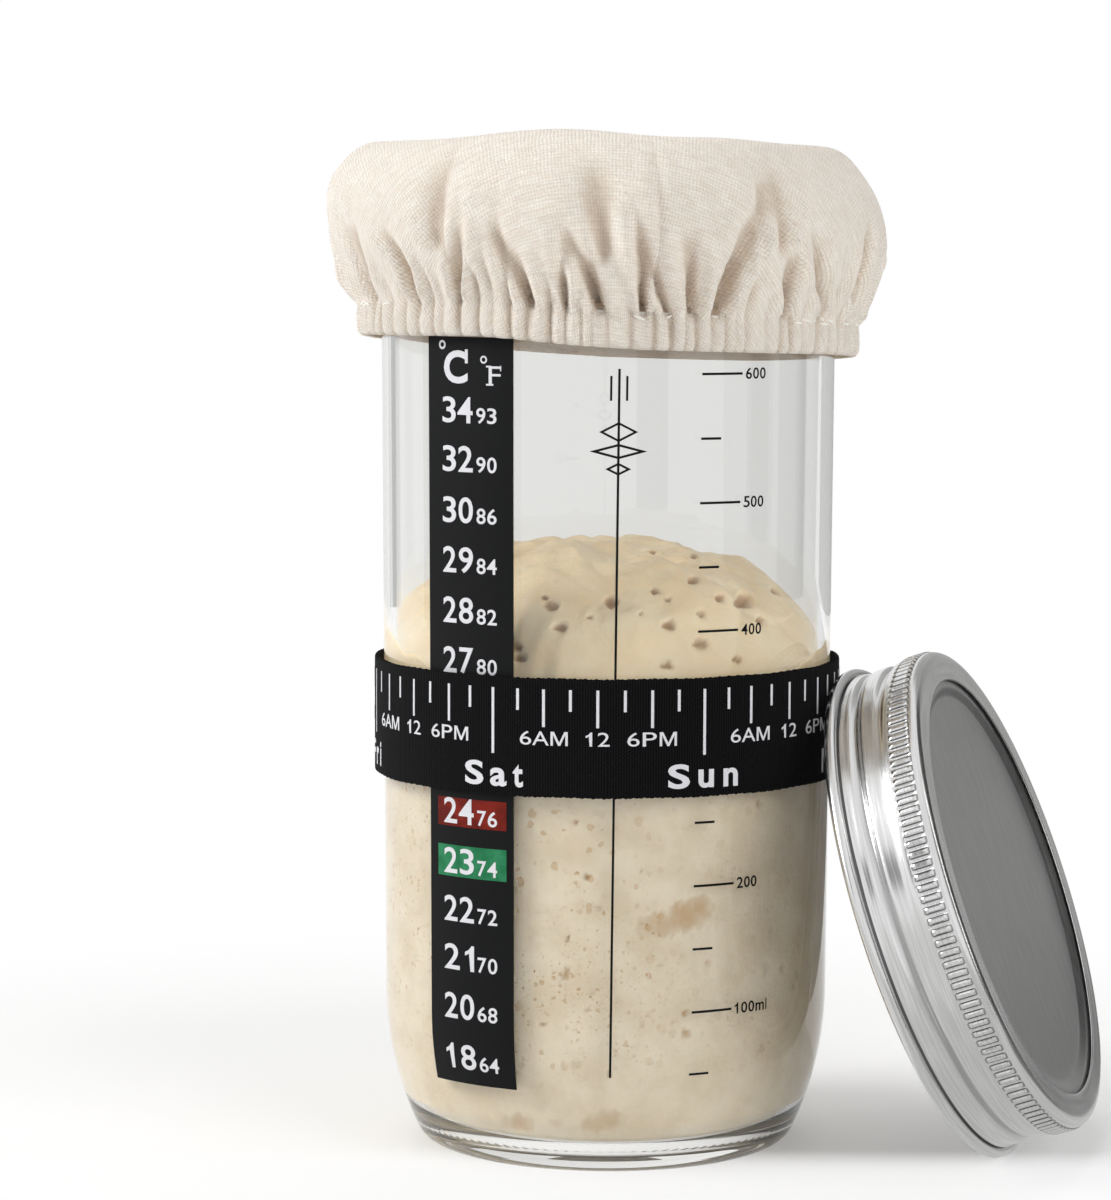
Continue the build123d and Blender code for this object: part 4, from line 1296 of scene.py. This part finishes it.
# %% Sizes of the screw band, in millimetres
SKIRT, SHOULDER, OPENING, LID_HEIGHT = 43.6, 43.9, 38.2, 17.2
SHEET, CORNER, CURL = 0.36, 1.8, 1.15
KNURLS, KNURL_STEPS, KNURL_LOW, KNURL_HIGH, KNURL_RAISE, KNURL_SINK = 142, 7, 11.75, 15.45, 0.3, 0.2
GROOVE_START, GROOVE_PITCH, GROOVE_TURNS, GROOVE_HALF, GROOVE_DEPTH = 4.6, 4.5, 1.22, 1.35, 0.75
GROOVE_FROM, GROOVE_END = radians(60), 0.12
SKIRT_LOW, SKIRT_HIGH, SKIRT_DRAW = 2.95, 11.6, 0.25


def skirt_outline():
    """Outline of the sheet: flange, corner, skirt and curl outside, then back up inside."""
    corner = (SHOULDER - CORNER, LID_HEIGHT - CORNER)
    inner = SHOULDER - SHEET
    flange = [
        (OPENING, LID_HEIGHT - 0.18), (OPENING + 0.08, LID_HEIGHT - 0.04), (OPENING + 0.3, LID_HEIGHT),
        (OPENING + 1.4, LID_HEIGHT - 0.06), (OPENING + 2.6, LID_HEIGHT - 0.06),
    ]
    bend = arc(corner, CORNER, 90, 0, 6)
    knurl = [(SHOULDER, height) for height in np.linspace(KNURL_HIGH, KNURL_LOW - 0.3, 14)]
    skirt = [(SHOULDER, height) for height in np.linspace(KNURL_LOW - 0.6, 3.2, 25)]
    waist = [(SHOULDER - 0.1, 2.9), (SHOULDER - 0.1, 2.6), (SHOULDER - 0.5, 2.5), (SHOULDER - 0.5, 2.3)]
    curl = arc((SKIRT + 0.55, CURL), CURL, 112, -180, 18)
    inside = [(inner - 0.1, 2.4)]
    inside += [(inner, height) for height in np.linspace(3.2, KNURL_LOW - 0.6, 16)]
    inside += [(inner, KNURL_LOW), (inner, KNURL_HIGH - 0.1)]
    inside += arc(corner, CORNER - SHEET, 0, 90, 4)[1:]
    lip = [(OPENING + 0.2, LID_HEIGHT - SHEET), (OPENING, LID_HEIGHT - 0.18)]
    return flange + bend + knurl + skirt + waist + curl + inside + lip


def groove(turn, height):
    """Depth of the thread groove at a bearing and height, from 0 to 1."""
    travel = ((turn - GROOVE_FROM) % (2 * pi)) / (2 * pi)
    deepest = 0.0
    for lap in (0, 1):
        along = travel + lap
        if along <= GROOVE_TURNS:
            off = (height - GROOVE_START - GROOVE_PITCH * along) / GROOVE_HALF
            ends = min(1.0, min(along, GROOVE_TURNS - along) / GROOVE_END)
            if abs(off) < 1:
                deepest = max(deepest, (0.5 + 0.5 * cos(off * pi)) * ends)
    return deepest


def soft_step(value, low, high):
    """0 below low, 1 above high, smooth between."""
    share = min(1.0, max(0.0, (value - low) / (high - low)))
    return share * share * (3 - 2 * share)


def press_depth(turn, radius, height):
    """How far the sheet is pressed out at a place: in at the groove, in and out at the knurls."""
    if SKIRT_LOW < height < SKIRT_HIGH and radius > SKIRT - 1:
        flare = SKIRT_DRAW * soft_step(height, 9.5, 11.3)
        return -GROOVE_DEPTH * groove(turn, height) - SKIRT_DRAW + flare
    if KNURL_LOW - 0.1 < height < KNURL_HIGH + 0.1 and radius > SHOULDER - 0.05:
        ends = soft_step(height, KNURL_LOW, KNURL_LOW + 0.45)
        ends *= soft_step(-height, -KNURL_HIGH, -KNURL_HIGH + 0.4)
        crest = soft_step(cos(turn * KNURLS), -0.55, 0.35)
        return ends * (KNURL_RAISE * crest - KNURL_SINK * (1 - crest))
    return 0.0


def make_screw_band():
    """The pressing, with its place on the flat sheet and the depth of its groove kept on its points."""
    bm = spin_outline(skirt_outline(), KNURLS * KNURL_STEPS)
    lid_layer = bm.verts.layers.float_vector.new("lid")
    groove_shade_layer = bm.verts.layers.float.new("groove")
    for vert in bm.verts:
        radius, height = vert.co.xy.length / MM, vert.co.z / MM
        turn = atan2(vert.co.y, vert.co.x) % (2 * pi)
        vert.co.xy *= (radius + press_depth(turn, radius, height)) / radius
        # The groove's depth, squared, is kept for the finish's painted shade along the groove.
        vert[groove_shade_layer] = groove(turn, height) ** 2
        vert[lid_layer] = (turn * SHOULDER, height, radius)
    bm.transform(lid_place)
    return bm


def peak(value, middle, half):
    """1 where a signal has its middle value, falling to 0 a half width away."""
    return 1 - (value - middle).math("ABSOLUTE").between(0.0, half)


def pressed_lines(plate, place):
    """Painted shade and reflection: dark lines on knurl flanks, curl root and thread groove."""
    arc_length, height, radius = plate.axes(place)
    wave = (arc_length * (KNURLS / SHOULDER)).math("COSINE")
    rows = height.between(KNURL_LOW, KNURL_LOW + 0.3)
    rows = rows * (1 - height.between(KNURL_HIGH - 0.2, KNURL_HIGH + 0.1))
    ends = peak(height, KNURL_LOW + 0.1, 0.35).math("MAXIMUM", peak(height, KNURL_HIGH, 0.3))
    ends = ends * wave.between(-0.6, 0.0)
    flank = peak(wave, -0.25, 0.6) * rows
    knurl = flank.math("MAXIMUM", ends * 0.7)
    root = peak(height, 2.45, 0.3)
    outside = radius.between(SKIRT - 1.2, SKIRT - 0.9)
    return (knurl * 0.95 + root + plate.attribute("groove") * 0.5).between(0.0, 1.0) * outside


def plate_finish(name, tone, roughness, streak, lines=None):
    """Satin tinplate with fine rolling streaks, a little dust, and painted dark lines of shade if given."""
    plate = Finish(name, {"Metallic": 1.0})
    place = plate.attribute("lid", out="Vector")
    fine = plate.noise(plate.node("ShaderNodeMapping", None, {"Vector": place, "Scale": streak}), 1.0, 3.0)
    cloud = plate.noise(place, 0.12, 2.0)
    plate.feed("Roughness", fine * 0.08 + cloud * 0.06 + (roughness - 0.07))
    colour = plate.blend(fine.between(0.3, 0.7), grey(tone * 0.86), grey(tone * 1.03))
    colour = plate.blend(specks(plate, place, 0.35, 0.075) * 0.7, colour, grey(0.95))
    if lines:
        # Painted shade and reflection: dark lines on the knurls, at the curl's root and along the groove.
        colour = plate.blend(lines(plate, place) * 0.9, colour, grey(0.03))
    plate.feed("Base Color", colour)
    plate.bump(fine, 0.012, 0.25)
    return plate


tinplate = plate_finish("bright_tinplate", 0.74, 0.22, (0.08, 3.0, 1.0), pressed_lines)
finish_piece(
    "screw_band_pressing", make_screw_band(), tinplate, "screw_band", "screw_band",
    sharp=50,
)

# %% [markdown]
# Lid disc and its seal
#
# The disc is a second pressing that lies loose in the band: a flat panel, sunk by a soft step inside the
# rim that the flange holds down. Only its upper side is seen, a duller grey than the band. The seal
# under its rim keeps its CAD solid.

# %% The lid disc
DISC_TOP, DISC_RADIUS, DISC_EDGE, DISC_SHEET, DISC_DEPTH = 16.55, 41.4, 0.4, 0.4, 1.2
PANEL_RADIUS, PANEL_DROP, DISC_STEP = 35.0, 0.85, 2.7
DISC_STEPS = 240


def disc_outline():
    """Outline of the disc: sunk panel, soft step and rim above, and the same below, a sheet lower."""
    step = [
        (PANEL_RADIUS + DISC_STEP * share, DISC_TOP - PANEL_DROP * (0.5 + 0.5 * cos(pi * share)))
        for share in np.linspace(0, 1, 9)
    ]
    panel = [(PANEL_RADIUS * share, DISC_TOP - PANEL_DROP) for share in (0, 0.3, 0.6, 0.85, 0.95)]
    rim = [(DISC_RADIUS - 0.7, DISC_TOP)]
    rim += arc((DISC_RADIUS - DISC_EDGE, DISC_TOP - DISC_EDGE), DISC_EDGE, 90, 0, 4)
    upper = panel + step + rim + [(DISC_RADIUS, DISC_TOP - DISC_DEPTH)]
    lower = [
        (radius - (DISC_SHEET if radius > DISC_RADIUS - DISC_EDGE else 0), height - DISC_SHEET)
        for radius, height in upper[:-1]
    ]
    return upper + [(DISC_RADIUS - DISC_SHEET, DISC_TOP - DISC_DEPTH)] + lower[::-1]


def make_disc():
    bm = spin_outline(disc_outline(), DISC_STEPS)
    layer = bm.verts.layers.float_vector.new("lid")
    for vert in bm.verts:
        vert[layer] = vert.co / MM
    bm.transform(lid_place)
    return bm


disc_finish = plate_finish("brushed_tinplate", 0.5, 0.33, (2.2, 0.12, 1.0))
finish_piece(
    "disc_pressing", make_disc(), disc_finish, "lid_disc", "lid_disc", sharp=50
)
dress("lid_seal", Finish("white_seal", {"Base Color": shade("E6E2D8"), "Roughness": 0.5}))

# %% [markdown]
# Cloth cover
#
# The cap is cut as one disc of unbleached cotton. Its edge is turned in and sewn down to make a channel,
# and an elastic in the channel draws the edge in to the jar's neck. So the cloth lies flat on the rim,
# swells out at the shoulder, and gathers: fine pleats a few millimetres wide in the channel, of which
# most die out just above the stitching and a few run up the side as long creases. The pleats scallop the
# hem's edge, which sags here and there. The outline on the left and the right is measured, and so are
# the creases in front. The pleats that aren't seen are drawn with a fixed seed. How deep a place lies in
# a fold is kept on the mesh, for the finish to darken the valleys, which get little light.

# %% Sizes of the cover, in millimetres
COVER_STEPS, COVER_ROWS = 756, 62
SHEET_THICKNESS = 0.34
LEFT_SIDE = (
    (0, 178.1), (20, 178.2), (34, 178.7), (39.5, 179.1), (42.4, 179.0), (44.7, 178.0), (46.3, 176.7),
    (47.7, 175.2), (49.0, 173.5), (49.8, 171.8), (50.2, 169.6), (50.2, 167.0), (49.8, 163.9), (48.9, 161.0),
    (47.7, 158.2), (46.4, 155.3), (45.6, 152.9),
)
RIGHT_SIDE = (
    (0, 178.1), (20, 178.1), (34, 178.4), (38.5, 178.5), (40.7, 177.9), (42.5, 176.7), (44.0, 175.0),
    (45.5, 173.0), (46.7, 171.2), (47.7, 169.3), (48.6, 167.0), (49.3, 164.2), (49.4, 161.3), (48.9, 158.5),
    (47.7, 155.6), (46.4, 152.8), (45.6, 150.9),
)
CHANNEL_RADIUS, STITCH_RADIUS, INNER_LAYER = 44.5, 44.3, 42.72
HEM_MIDDLE, HEM_TILT, HEM_TILT_BEARING = 142.8, 3.65, radians(140)
HEM_BEARINGS = (-180, -140, -90, -50, -30, -8, 8, 35, 60, 90, 140, 180)
HEM_SAGS = (1.1, 0.7, 0.0, 0.3, 0.0, 1.0, 1.3, 0.8, 0.2, 0.0, 0.8, 1.1)
CHANNEL_HEIGHT, HEM_END = 6.3, 7.6
PLEAT_PITCH, PLEAT_DEPTH = 3.1, 1.15
SCALLOP = 1.1
MOUNDS = ((-7.0, -34.0, 15.0, 9.0, 2.1), (22.0, -36.0, 12.0, 8.0, 0.7), (-30.0, 10.0, 16.0, 12.0, 0.6))
# A crease is a bearing in degrees and a height at its low end, its middle and its high end, then a depth
# and a width.
CREASES_IN_FRONT = (
    ((-47.1, 152.2), (-47.6, 157.1), (-51.7, 164.4), 1.7, 1.5),
    ((-35.2, 150.9), (-32.5, 159.4), (-30.2, 166.6), 1.9, 1.1),
    ((-17.2, 151.1), (-19.9, 158.4), (-24.9, 166.0), 1.3, 1.6),
    ((-1.1, 148.4), (-3.5, 155.1), (-9.8, 166.5), 2.3, 1.5),
    ((7.7, 148.4), (6.8, 159.0), (4.6, 168.7), 2.2, 1.1),
    ((13.6, 148.4), (11.3, 152.9), (7.4, 160.6), 1.5, 1.0),
    ((18.5, 149.5), (17.2, 156.2), (14.9, 164.4), 1.4, 1.3),
    ((24.3, 149.5), (26.5, 158.0), (33.5, 171.5), 2.2, 1.9),
    ((43.6, 148.2), (40.5, 155.0), (39.4, 161.6), 1.5, 1.3),
    ((55.4, 149.2), (48.0, 157.8), (44.7, 164.5), 1.4, 1.5),
    ((-66.4, 151.1), (-64.4, 157.5), (-65.0, 165.4), 1.5, 1.9),
    ((-9.5, 151.7), (-9.3, 157.8), (-8.5, 163.5), 1.0, 1.0),
    ((-1.1, 160.2), (-2.0, 166.0), (-3.2, 175.4), 1.3, 3.0),
    ((36.7, 162.3), (36.5, 168.0), (36.0, 174.4), 1.1, 2.6),
    ((-36.7, 162.1), (-36.7, 168.0), (-36.5, 176.7), 0.8, 3.0),
    ((70.0, 148.0), (66.0, 155.0), (67.0, 165.0), 1.6, 1.7),
)
SEEDED_CREASES = 22
SEEDED_FROM, SEEDED_TO, SEEDED_FOOT = 78, 286, 147.5
CREASE_SHARE, CREASE_RADIUS = 2.3, 47.5


def hem_height(bearing):
    """Height of the hem's lower edge; the cover sits a little askew and sags in places."""
    sag = np.interp((np.degrees(bearing) + 180) % 360 - 180, HEM_BEARINGS, HEM_SAGS)
    return HEM_MIDDLE + tan(radians(HEM_TILT)) * 44 * -cos(bearing - HEM_TILT_BEARING) - sag


def side_outline(bearing):
    """Outline from the middle of the top to the inner end of the hem, at a bearing from the front."""
    right = 0.5 + 0.5 * sin(bearing)
    left_side, right_side = np.array(LEFT_SIDE), np.array(RIGHT_SIDE)
    side = left_side * (1 - right) + right_side * right
    hem = hem_height(bearing)
    stitch = hem + CHANNEL_HEIGHT
    side[-4:, 1] += (stitch + 2.2 - side[-1, 1]) * np.array([0.1, 0.3, 0.6, 1.0])
    channel = [
        (STITCH_RADIUS + 0.95, stitch + 1.4), (STITCH_RADIUS + 0.4, stitch + 0.5),
        (STITCH_RADIUS, stitch - 0.3), (CHANNEL_RADIUS, stitch - 1.5), (CHANNEL_RADIUS + 0.08, hem + 3.0),
        (CHANNEL_RADIUS, hem + 1.2), (CHANNEL_RADIUS - 0.3, hem + 0.45), (CHANNEL_RADIUS - 0.9, hem + 0.1),
    ]
    turned_in = [
        (INNER_LAYER + 0.4, hem + 0.15), (INNER_LAYER, hem + 0.7), (INNER_LAYER - 0.05, hem + 2.5),
        (INNER_LAYER, hem + 4.6), (INNER_LAYER + 0.1, stitch), (INNER_LAYER + 0.15, hem + HEM_END),
    ]
    return np.vstack([side, channel, turned_in])


def spread_rows():
    """Shares of the way from the top's middle to the inner hem where the rows of the mesh lie."""
    crown = np.linspace(0, 0.36, 9)
    side = np.linspace(0.36, 0.78, 34)[1:]
    hem = np.linspace(0.78, 1.0, COVER_ROWS - 42)[1:]
    return np.concatenate([crown, side, hem])


def along(outline, shares):
    """Points at given shares of an outline's length, smoothed a little, and that length."""
    steps = np.linalg.norm(np.diff(outline, axis=0), axis=1)
    travel = np.concatenate([[0], np.cumsum(steps)])
    wanted = shares * travel[-1]
    return np.stack([np.interp(wanted, travel, outline[:, i]) for i in (0, 1)], axis=1), wanted


def crease_list():
    """Measured creases, then seeded ones for the sides and the back."""
    draw = np.random.default_rng(11)
    creases = list(CREASES_IN_FRONT)
    for index in range(SEEDED_CREASES):
        share = (index + draw.uniform(0.25, 0.75)) / SEEDED_CREASES
        bearing = SEEDED_FROM + (SEEDED_TO - SEEDED_FROM) * share
        top = draw.uniform(158, 172)
        drift = draw.normal(0, 5)
        middle = (bearing + drift * 0.4, (top + 147) / 2)
        points = ((bearing, SEEDED_FOOT), middle, (bearing + drift, top))
        creases.append((*points, draw.uniform(1.0, 2.3), draw.uniform(1.0, 1.8)))
    return creases


def pleat_list():
    """Bearings in degrees of the valleys between the fine pleats of the channel, how deep, how long."""
    draw = np.random.default_rng(5)
    count = int(2 * pi * CHANNEL_RADIUS / PLEAT_PITCH)
    widths = draw.uniform(0.6, 1.5, count)
    places = np.cumsum(widths) / widths.sum() * 360
    return places, draw.uniform(0.45, 1.1, count), draw.gamma(2.0, 3.0, count) + 2.0


def crease_depth(bearing, height):
    """How far the long creases press the cloth in, in millimetres, at many places."""
    depth = np.zeros(bearing.shape)
    for low, middle, high, deep, wide in crease_list():
        level = np.clip((height - low[1]) / (high[1] - low[1]), -0.3, 1.3)
        place = np.interp(height, (low[1], middle[1], high[1]), (low[0], middle[0], high[0]))
        across = ((bearing - place + 180) % 360 - 180) * pi / 180 * CREASE_RADIUS
        width = wide * (0.55 + 0.9 * np.clip(level, 0, 1))
        grow = np.clip(1 - level, 0, 1) ** 0.7 * np.clip((level + 0.3) / 0.3, 0, 1)
        valley = np.exp(-np.abs(across / width) ** 1.5)
        ridge = 0.42 * np.exp(-((np.abs(across) - 2.1 * width) / (1.2 * width)) ** 2)
        depth += CREASE_SHARE * deep * grow * (valley - ridge)
    return depth


def pleat_depth(bearing, above_stitch):
    """How deep the valleys between the channel's pleats are: round ridges that meet in sharp lines."""
    places, deeps, lengths = pleat_list()
    places = np.concatenate([[places[-1] - 360], places])
    deeps, lengths = (np.concatenate([[values[-1]], values]) for values in (deeps, lengths))
    turn = bearing % 360
    after = np.clip(np.searchsorted(places, turn), 1, len(places) - 1)
    share = (turn - places[after - 1]) / (places[after] - places[after - 1])
    rise = np.clip(above_stitch, 0, None)
    depth = np.zeros(bearing.shape)
    for valley, nearness in ((after - 1, 1 - 2 * share), (after, 2 * share - 1)):
        fade = np.exp(-((rise / lengths[valley]) ** 1.5)) * (1 + 0.9 * np.clip(rise / 3, 0, 1))
        depth += deeps[valley] * fade * np.clip(nearness, 0, 1) ** 1.7
    return PLEAT_DEPTH * depth


print(len(CREASES_IN_FRONT) + SEEDED_CREASES, "long creases")

# %% Finish of the cotton
# The weave lies on the flat disc that the cap was cut from, so its threads run straight across the top and
# turn with the cloth down the sides. Warp and weft cross over and under in plain weave, with slubs.
THREAD_PITCH = 0.62


def weave(cotton, flat):
    """Height of a plain weave from 0 to 1, on the flat disc's coordinates."""
    sway = cotton.noise(flat, 0.22, 3.0)
    x, y, _ = cotton.axes(flat)
    across, down = x / THREAD_PITCH + sway * 1.8, y / THREAD_PITCH + sway * 1.4
    odd = (across.math("FLOOR") + down.math("FLOOR")).math("MODULO", 2.0).math("ABSOLUTE")
    warp, weft = ((place * pi).math("SINE").math("ABSOLUTE") for place in (across, down))
    over = warp * (odd * 0.6 + 0.4) * (weft * 0.5 + 0.5)
    under = weft * (1.0 - odd * 0.6) * (warp * 0.5 + 0.5)
    return over.math("MAXIMUM", under)


def make_cotton():
    cotton = Finish("cream_cloth", {
        "Roughness": 0.85, "Specular IOR Level": 0.2, "Sheen Weight": 0.25, "Sheen Roughness": 0.5,
        "Subsurface Weight": 0.12, "Subsurface Scale": 0.0012, "Subsurface Radius": (1.0, 0.8, 0.6),
    })
    flat = cotton.attribute("flat", out="Vector")
    thread = weave(cotton, flat)
    stretched = cotton.node("ShaderNodeMapping", None, {"Vector": flat, "Scale": (0.25, 1.3, 1.0)})
    slub = cotton.noise(stretched, 1.0, 2.0)
    fleck = cotton.noise(flat, 1.5, 2.0).between(0.66, 0.74)
    tone = cotton.blend(slub.between(0.3, 0.7), shade("F3E8DB"), shade("FCF4EA"))
    # Painted shade in the gaps between the threads, which are coloured darker.
    tone = cotton.blend(thread.between(-0.45, 0.75), shade("DECDBA"), tone)
    # Painted shade from the fold attribute: darker valleys, and darkest on the turned-in hem.
    fold = cotton.attribute("fold")
    valley = fold.between(0.0, 1.0) * 0.42 + fold.between(1.1, 1.4) * 0.3
    tone = cotton.blend(valley, tone, shade("AC8E6E"))
    cotton.feed("Base Color", cotton.blend(fleck * 0.35, tone, shade("B5A288")))
    cotton.bump(thread + slub * 0.6 + cotton.noise(flat, 2.5, 2.0) * 0.5, 0.22, 0.9)
    return cotton


print("weave of", THREAD_PITCH, "mm")
# %% Surface of the gathered cap
FLAT_TO, FADE_REACH = 34, 12
SEAM_FROM_ROW = 30
SMOOTH_FROM = 0.164


def cover_surface():
    """Rows of the cap all the way round: places, flat places, fold shading, and height over the seam."""
    shares = spread_rows()
    bearings = np.linspace(0, 2 * pi, COVER_STEPS, endpoint=False)
    radius, height, travel = (np.zeros((COVER_STEPS, len(shares))) for _ in range(3))
    stitch = np.zeros((COVER_STEPS, 1))
    for index, bearing in enumerate(bearings):
        points, wanted = along(side_outline(bearing), shares)
        radius[index], height[index], travel[index] = points[:, 0], points[:, 1], wanted
        stitch[index] = hem_height(bearing) + CHANNEL_HEIGHT
    turn = np.repeat(bearings[:, None], len(shares), axis=1)
    above = height - stitch
    creases = crease_depth(np.degrees(turn), height)
    pleats = pleat_depth(np.degrees(turn), above)
    fade = np.clip((radius - FLAT_TO) / FADE_REACH, 0, 1) ** 2
    below, turned_in = above < 0, (radius < INNER_LAYER + 0.9) & (above < 2)
    fold = np.where(below, 0.25 * np.clip(creases, -0.6, 1.2) + pleats - 0.3, (creases + pleats) * fade)
    fold = np.where(turned_in, fold * 0.12, fold)
    radius = radius - fold
    # Painted shade: the deeper a fold's valley, the darker; the turned-in layer of the hem is darkest, in
    # the cap's shadow.
    shadow = np.clip(np.where(below, (fold + 0.15) / 0.9, fold / 1.5), -0.4, 1.0)
    shadow = np.where(turned_in, 1.5, shadow)
    ridge = 1 - pleats / PLEAT_DEPTH
    drop = SCALLOP * (ridge - 0.5) * np.clip(1 + above / CHANNEL_HEIGHT, 0, 1)
    height = height - np.where(below, drop, 0)
    x, y = radius * np.sin(turn), -radius * np.cos(turn)
    for mound_x, mound_y, wide, deep, rise_by in MOUNDS:
        off = ((x - mound_x) / wide) ** 2 + ((y - mound_y) / deep) ** 2
        height = height + rise_by * np.exp(-off) * (above > 20)
    flat = np.stack([travel * np.sin(turn), -travel * np.cos(turn), 0 * travel], axis=2)
    return np.stack([x, y, height], axis=2), flat, shadow, above


def seam_places(places, above):
    """Where the stitching lies on the outer side, at each bearing: the row nearest to the seam's height."""
    distance = np.abs(above)
    distance[:, :SEAM_FROM_ROW] += 99
    return places[np.arange(COVER_STEPS), distance.argmin(axis=1)]


print("cap of", COVER_STEPS, "by", len(spread_rows()), "points")

# %% The gathered cap


def make_cover(places, flat, shadow):
    """Closed mesh of the cap from its rows, with the thickness of the cloth."""
    bm = bmesh.new()
    flat_layer = bm.verts.layers.float_vector.new("flat")
    fold_layer = bm.verts.layers.float.new("fold")
    centre = bm.verts.new((0, 0, places[:, 0, 2].mean() * MM))
    columns = []
    for column in zip(places, flat, shadow):
        verts = []
        for place, flat_place, dark in list(zip(*column))[1:]:
            vert = bm.verts.new(place * MM)
            vert[flat_layer], vert[fold_layer] = Vector(flat_place), dark
            verts.append(vert)
        columns.append(verts)
    for here, there in zip(columns, columns[1:] + columns[:1]):
        bm.faces.new((centre, here[0], there[0]))
        for j in range(len(here) - 1):
            bm.faces.new((here[j], here[j + 1], there[j + 1], there[j]))
    bmesh.ops.smooth_vert(
        bm, verts=[vert for vert in bm.verts if vert.co.z > SMOOTH_FROM], factor=0.5,
        use_axis_x=True, use_axis_y=True, use_axis_z=True,
    )
    bmesh.ops.recalc_face_normals(bm, faces=bm.faces)
    bmesh.ops.solidify(bm, geom=bm.faces[:], thickness=SHEET_THICKNESS * MM)
    return bm


cap_places, cap_flat, cap_shadow, above_seam = cover_surface()
cap_mesh, cotton = make_cover(cap_places, cap_flat, cap_shadow), make_cotton()
cover = finish_piece("cotton_cap", cap_mesh, cotton, "cover", "cloth_cover", sharp=180)

# %% Stitching of the channel
STITCH_STEP, STITCH_LENGTH, STITCH_THREAD, STITCH_SKIP = 7, 1.1, 0.2, 0.25
STITCH_SWAY, STITCH_LIFT, STITCH_BEND = 0.12, 0.1, 0.12


def make_stitches(seam):
    """Short stretches of white thread that lie on the seam and dip into the pleats."""
    draw = np.random.default_rng(3)
    bm = bmesh.new()
    for index in range(0, COVER_STEPS - STITCH_STEP, STITCH_STEP):
        if draw.uniform() < STITCH_SKIP:
            continue
        place = Vector(seam[index])
        way = (Vector(seam[(index + 2) % COVER_STEPS]) - Vector(seam[index - 2])).normalized()
        outward = Vector((place.x, place.y, 0)).normalized()
        sag = draw.normal(0, STITCH_SWAY)
        turned = Matrix((way, outward, way.cross(outward))).transposed()
        for vert in bmesh.ops.create_uvsphere(bm, u_segments=8, v_segments=6, radius=1.0)["verts"]:
            local = vert.co * Vector((STITCH_LENGTH, STITCH_THREAD, STITCH_THREAD))
            local.y -= STITCH_BEND * vert.co.x ** 2
            vert.co = (place + outward * STITCH_LIFT + Vector((0, 0, sag)) + turned @ local) * MM
    return bm


thread_finish = Finish("seam_thread", {
    "Base Color": shade("FBF8F1"), "Roughness": 0.7, "Sheen Weight": 0.2,
})
stitching = make_stitches(seam_places(cap_places, above_seam))
stitches = finish_piece("channel_stitching", stitching, thread_finish, "cover")
dress("cover_elastic", Finish("white_elastic", {"Base Color": shade("E8E6E0"), "Roughness": 0.8}))
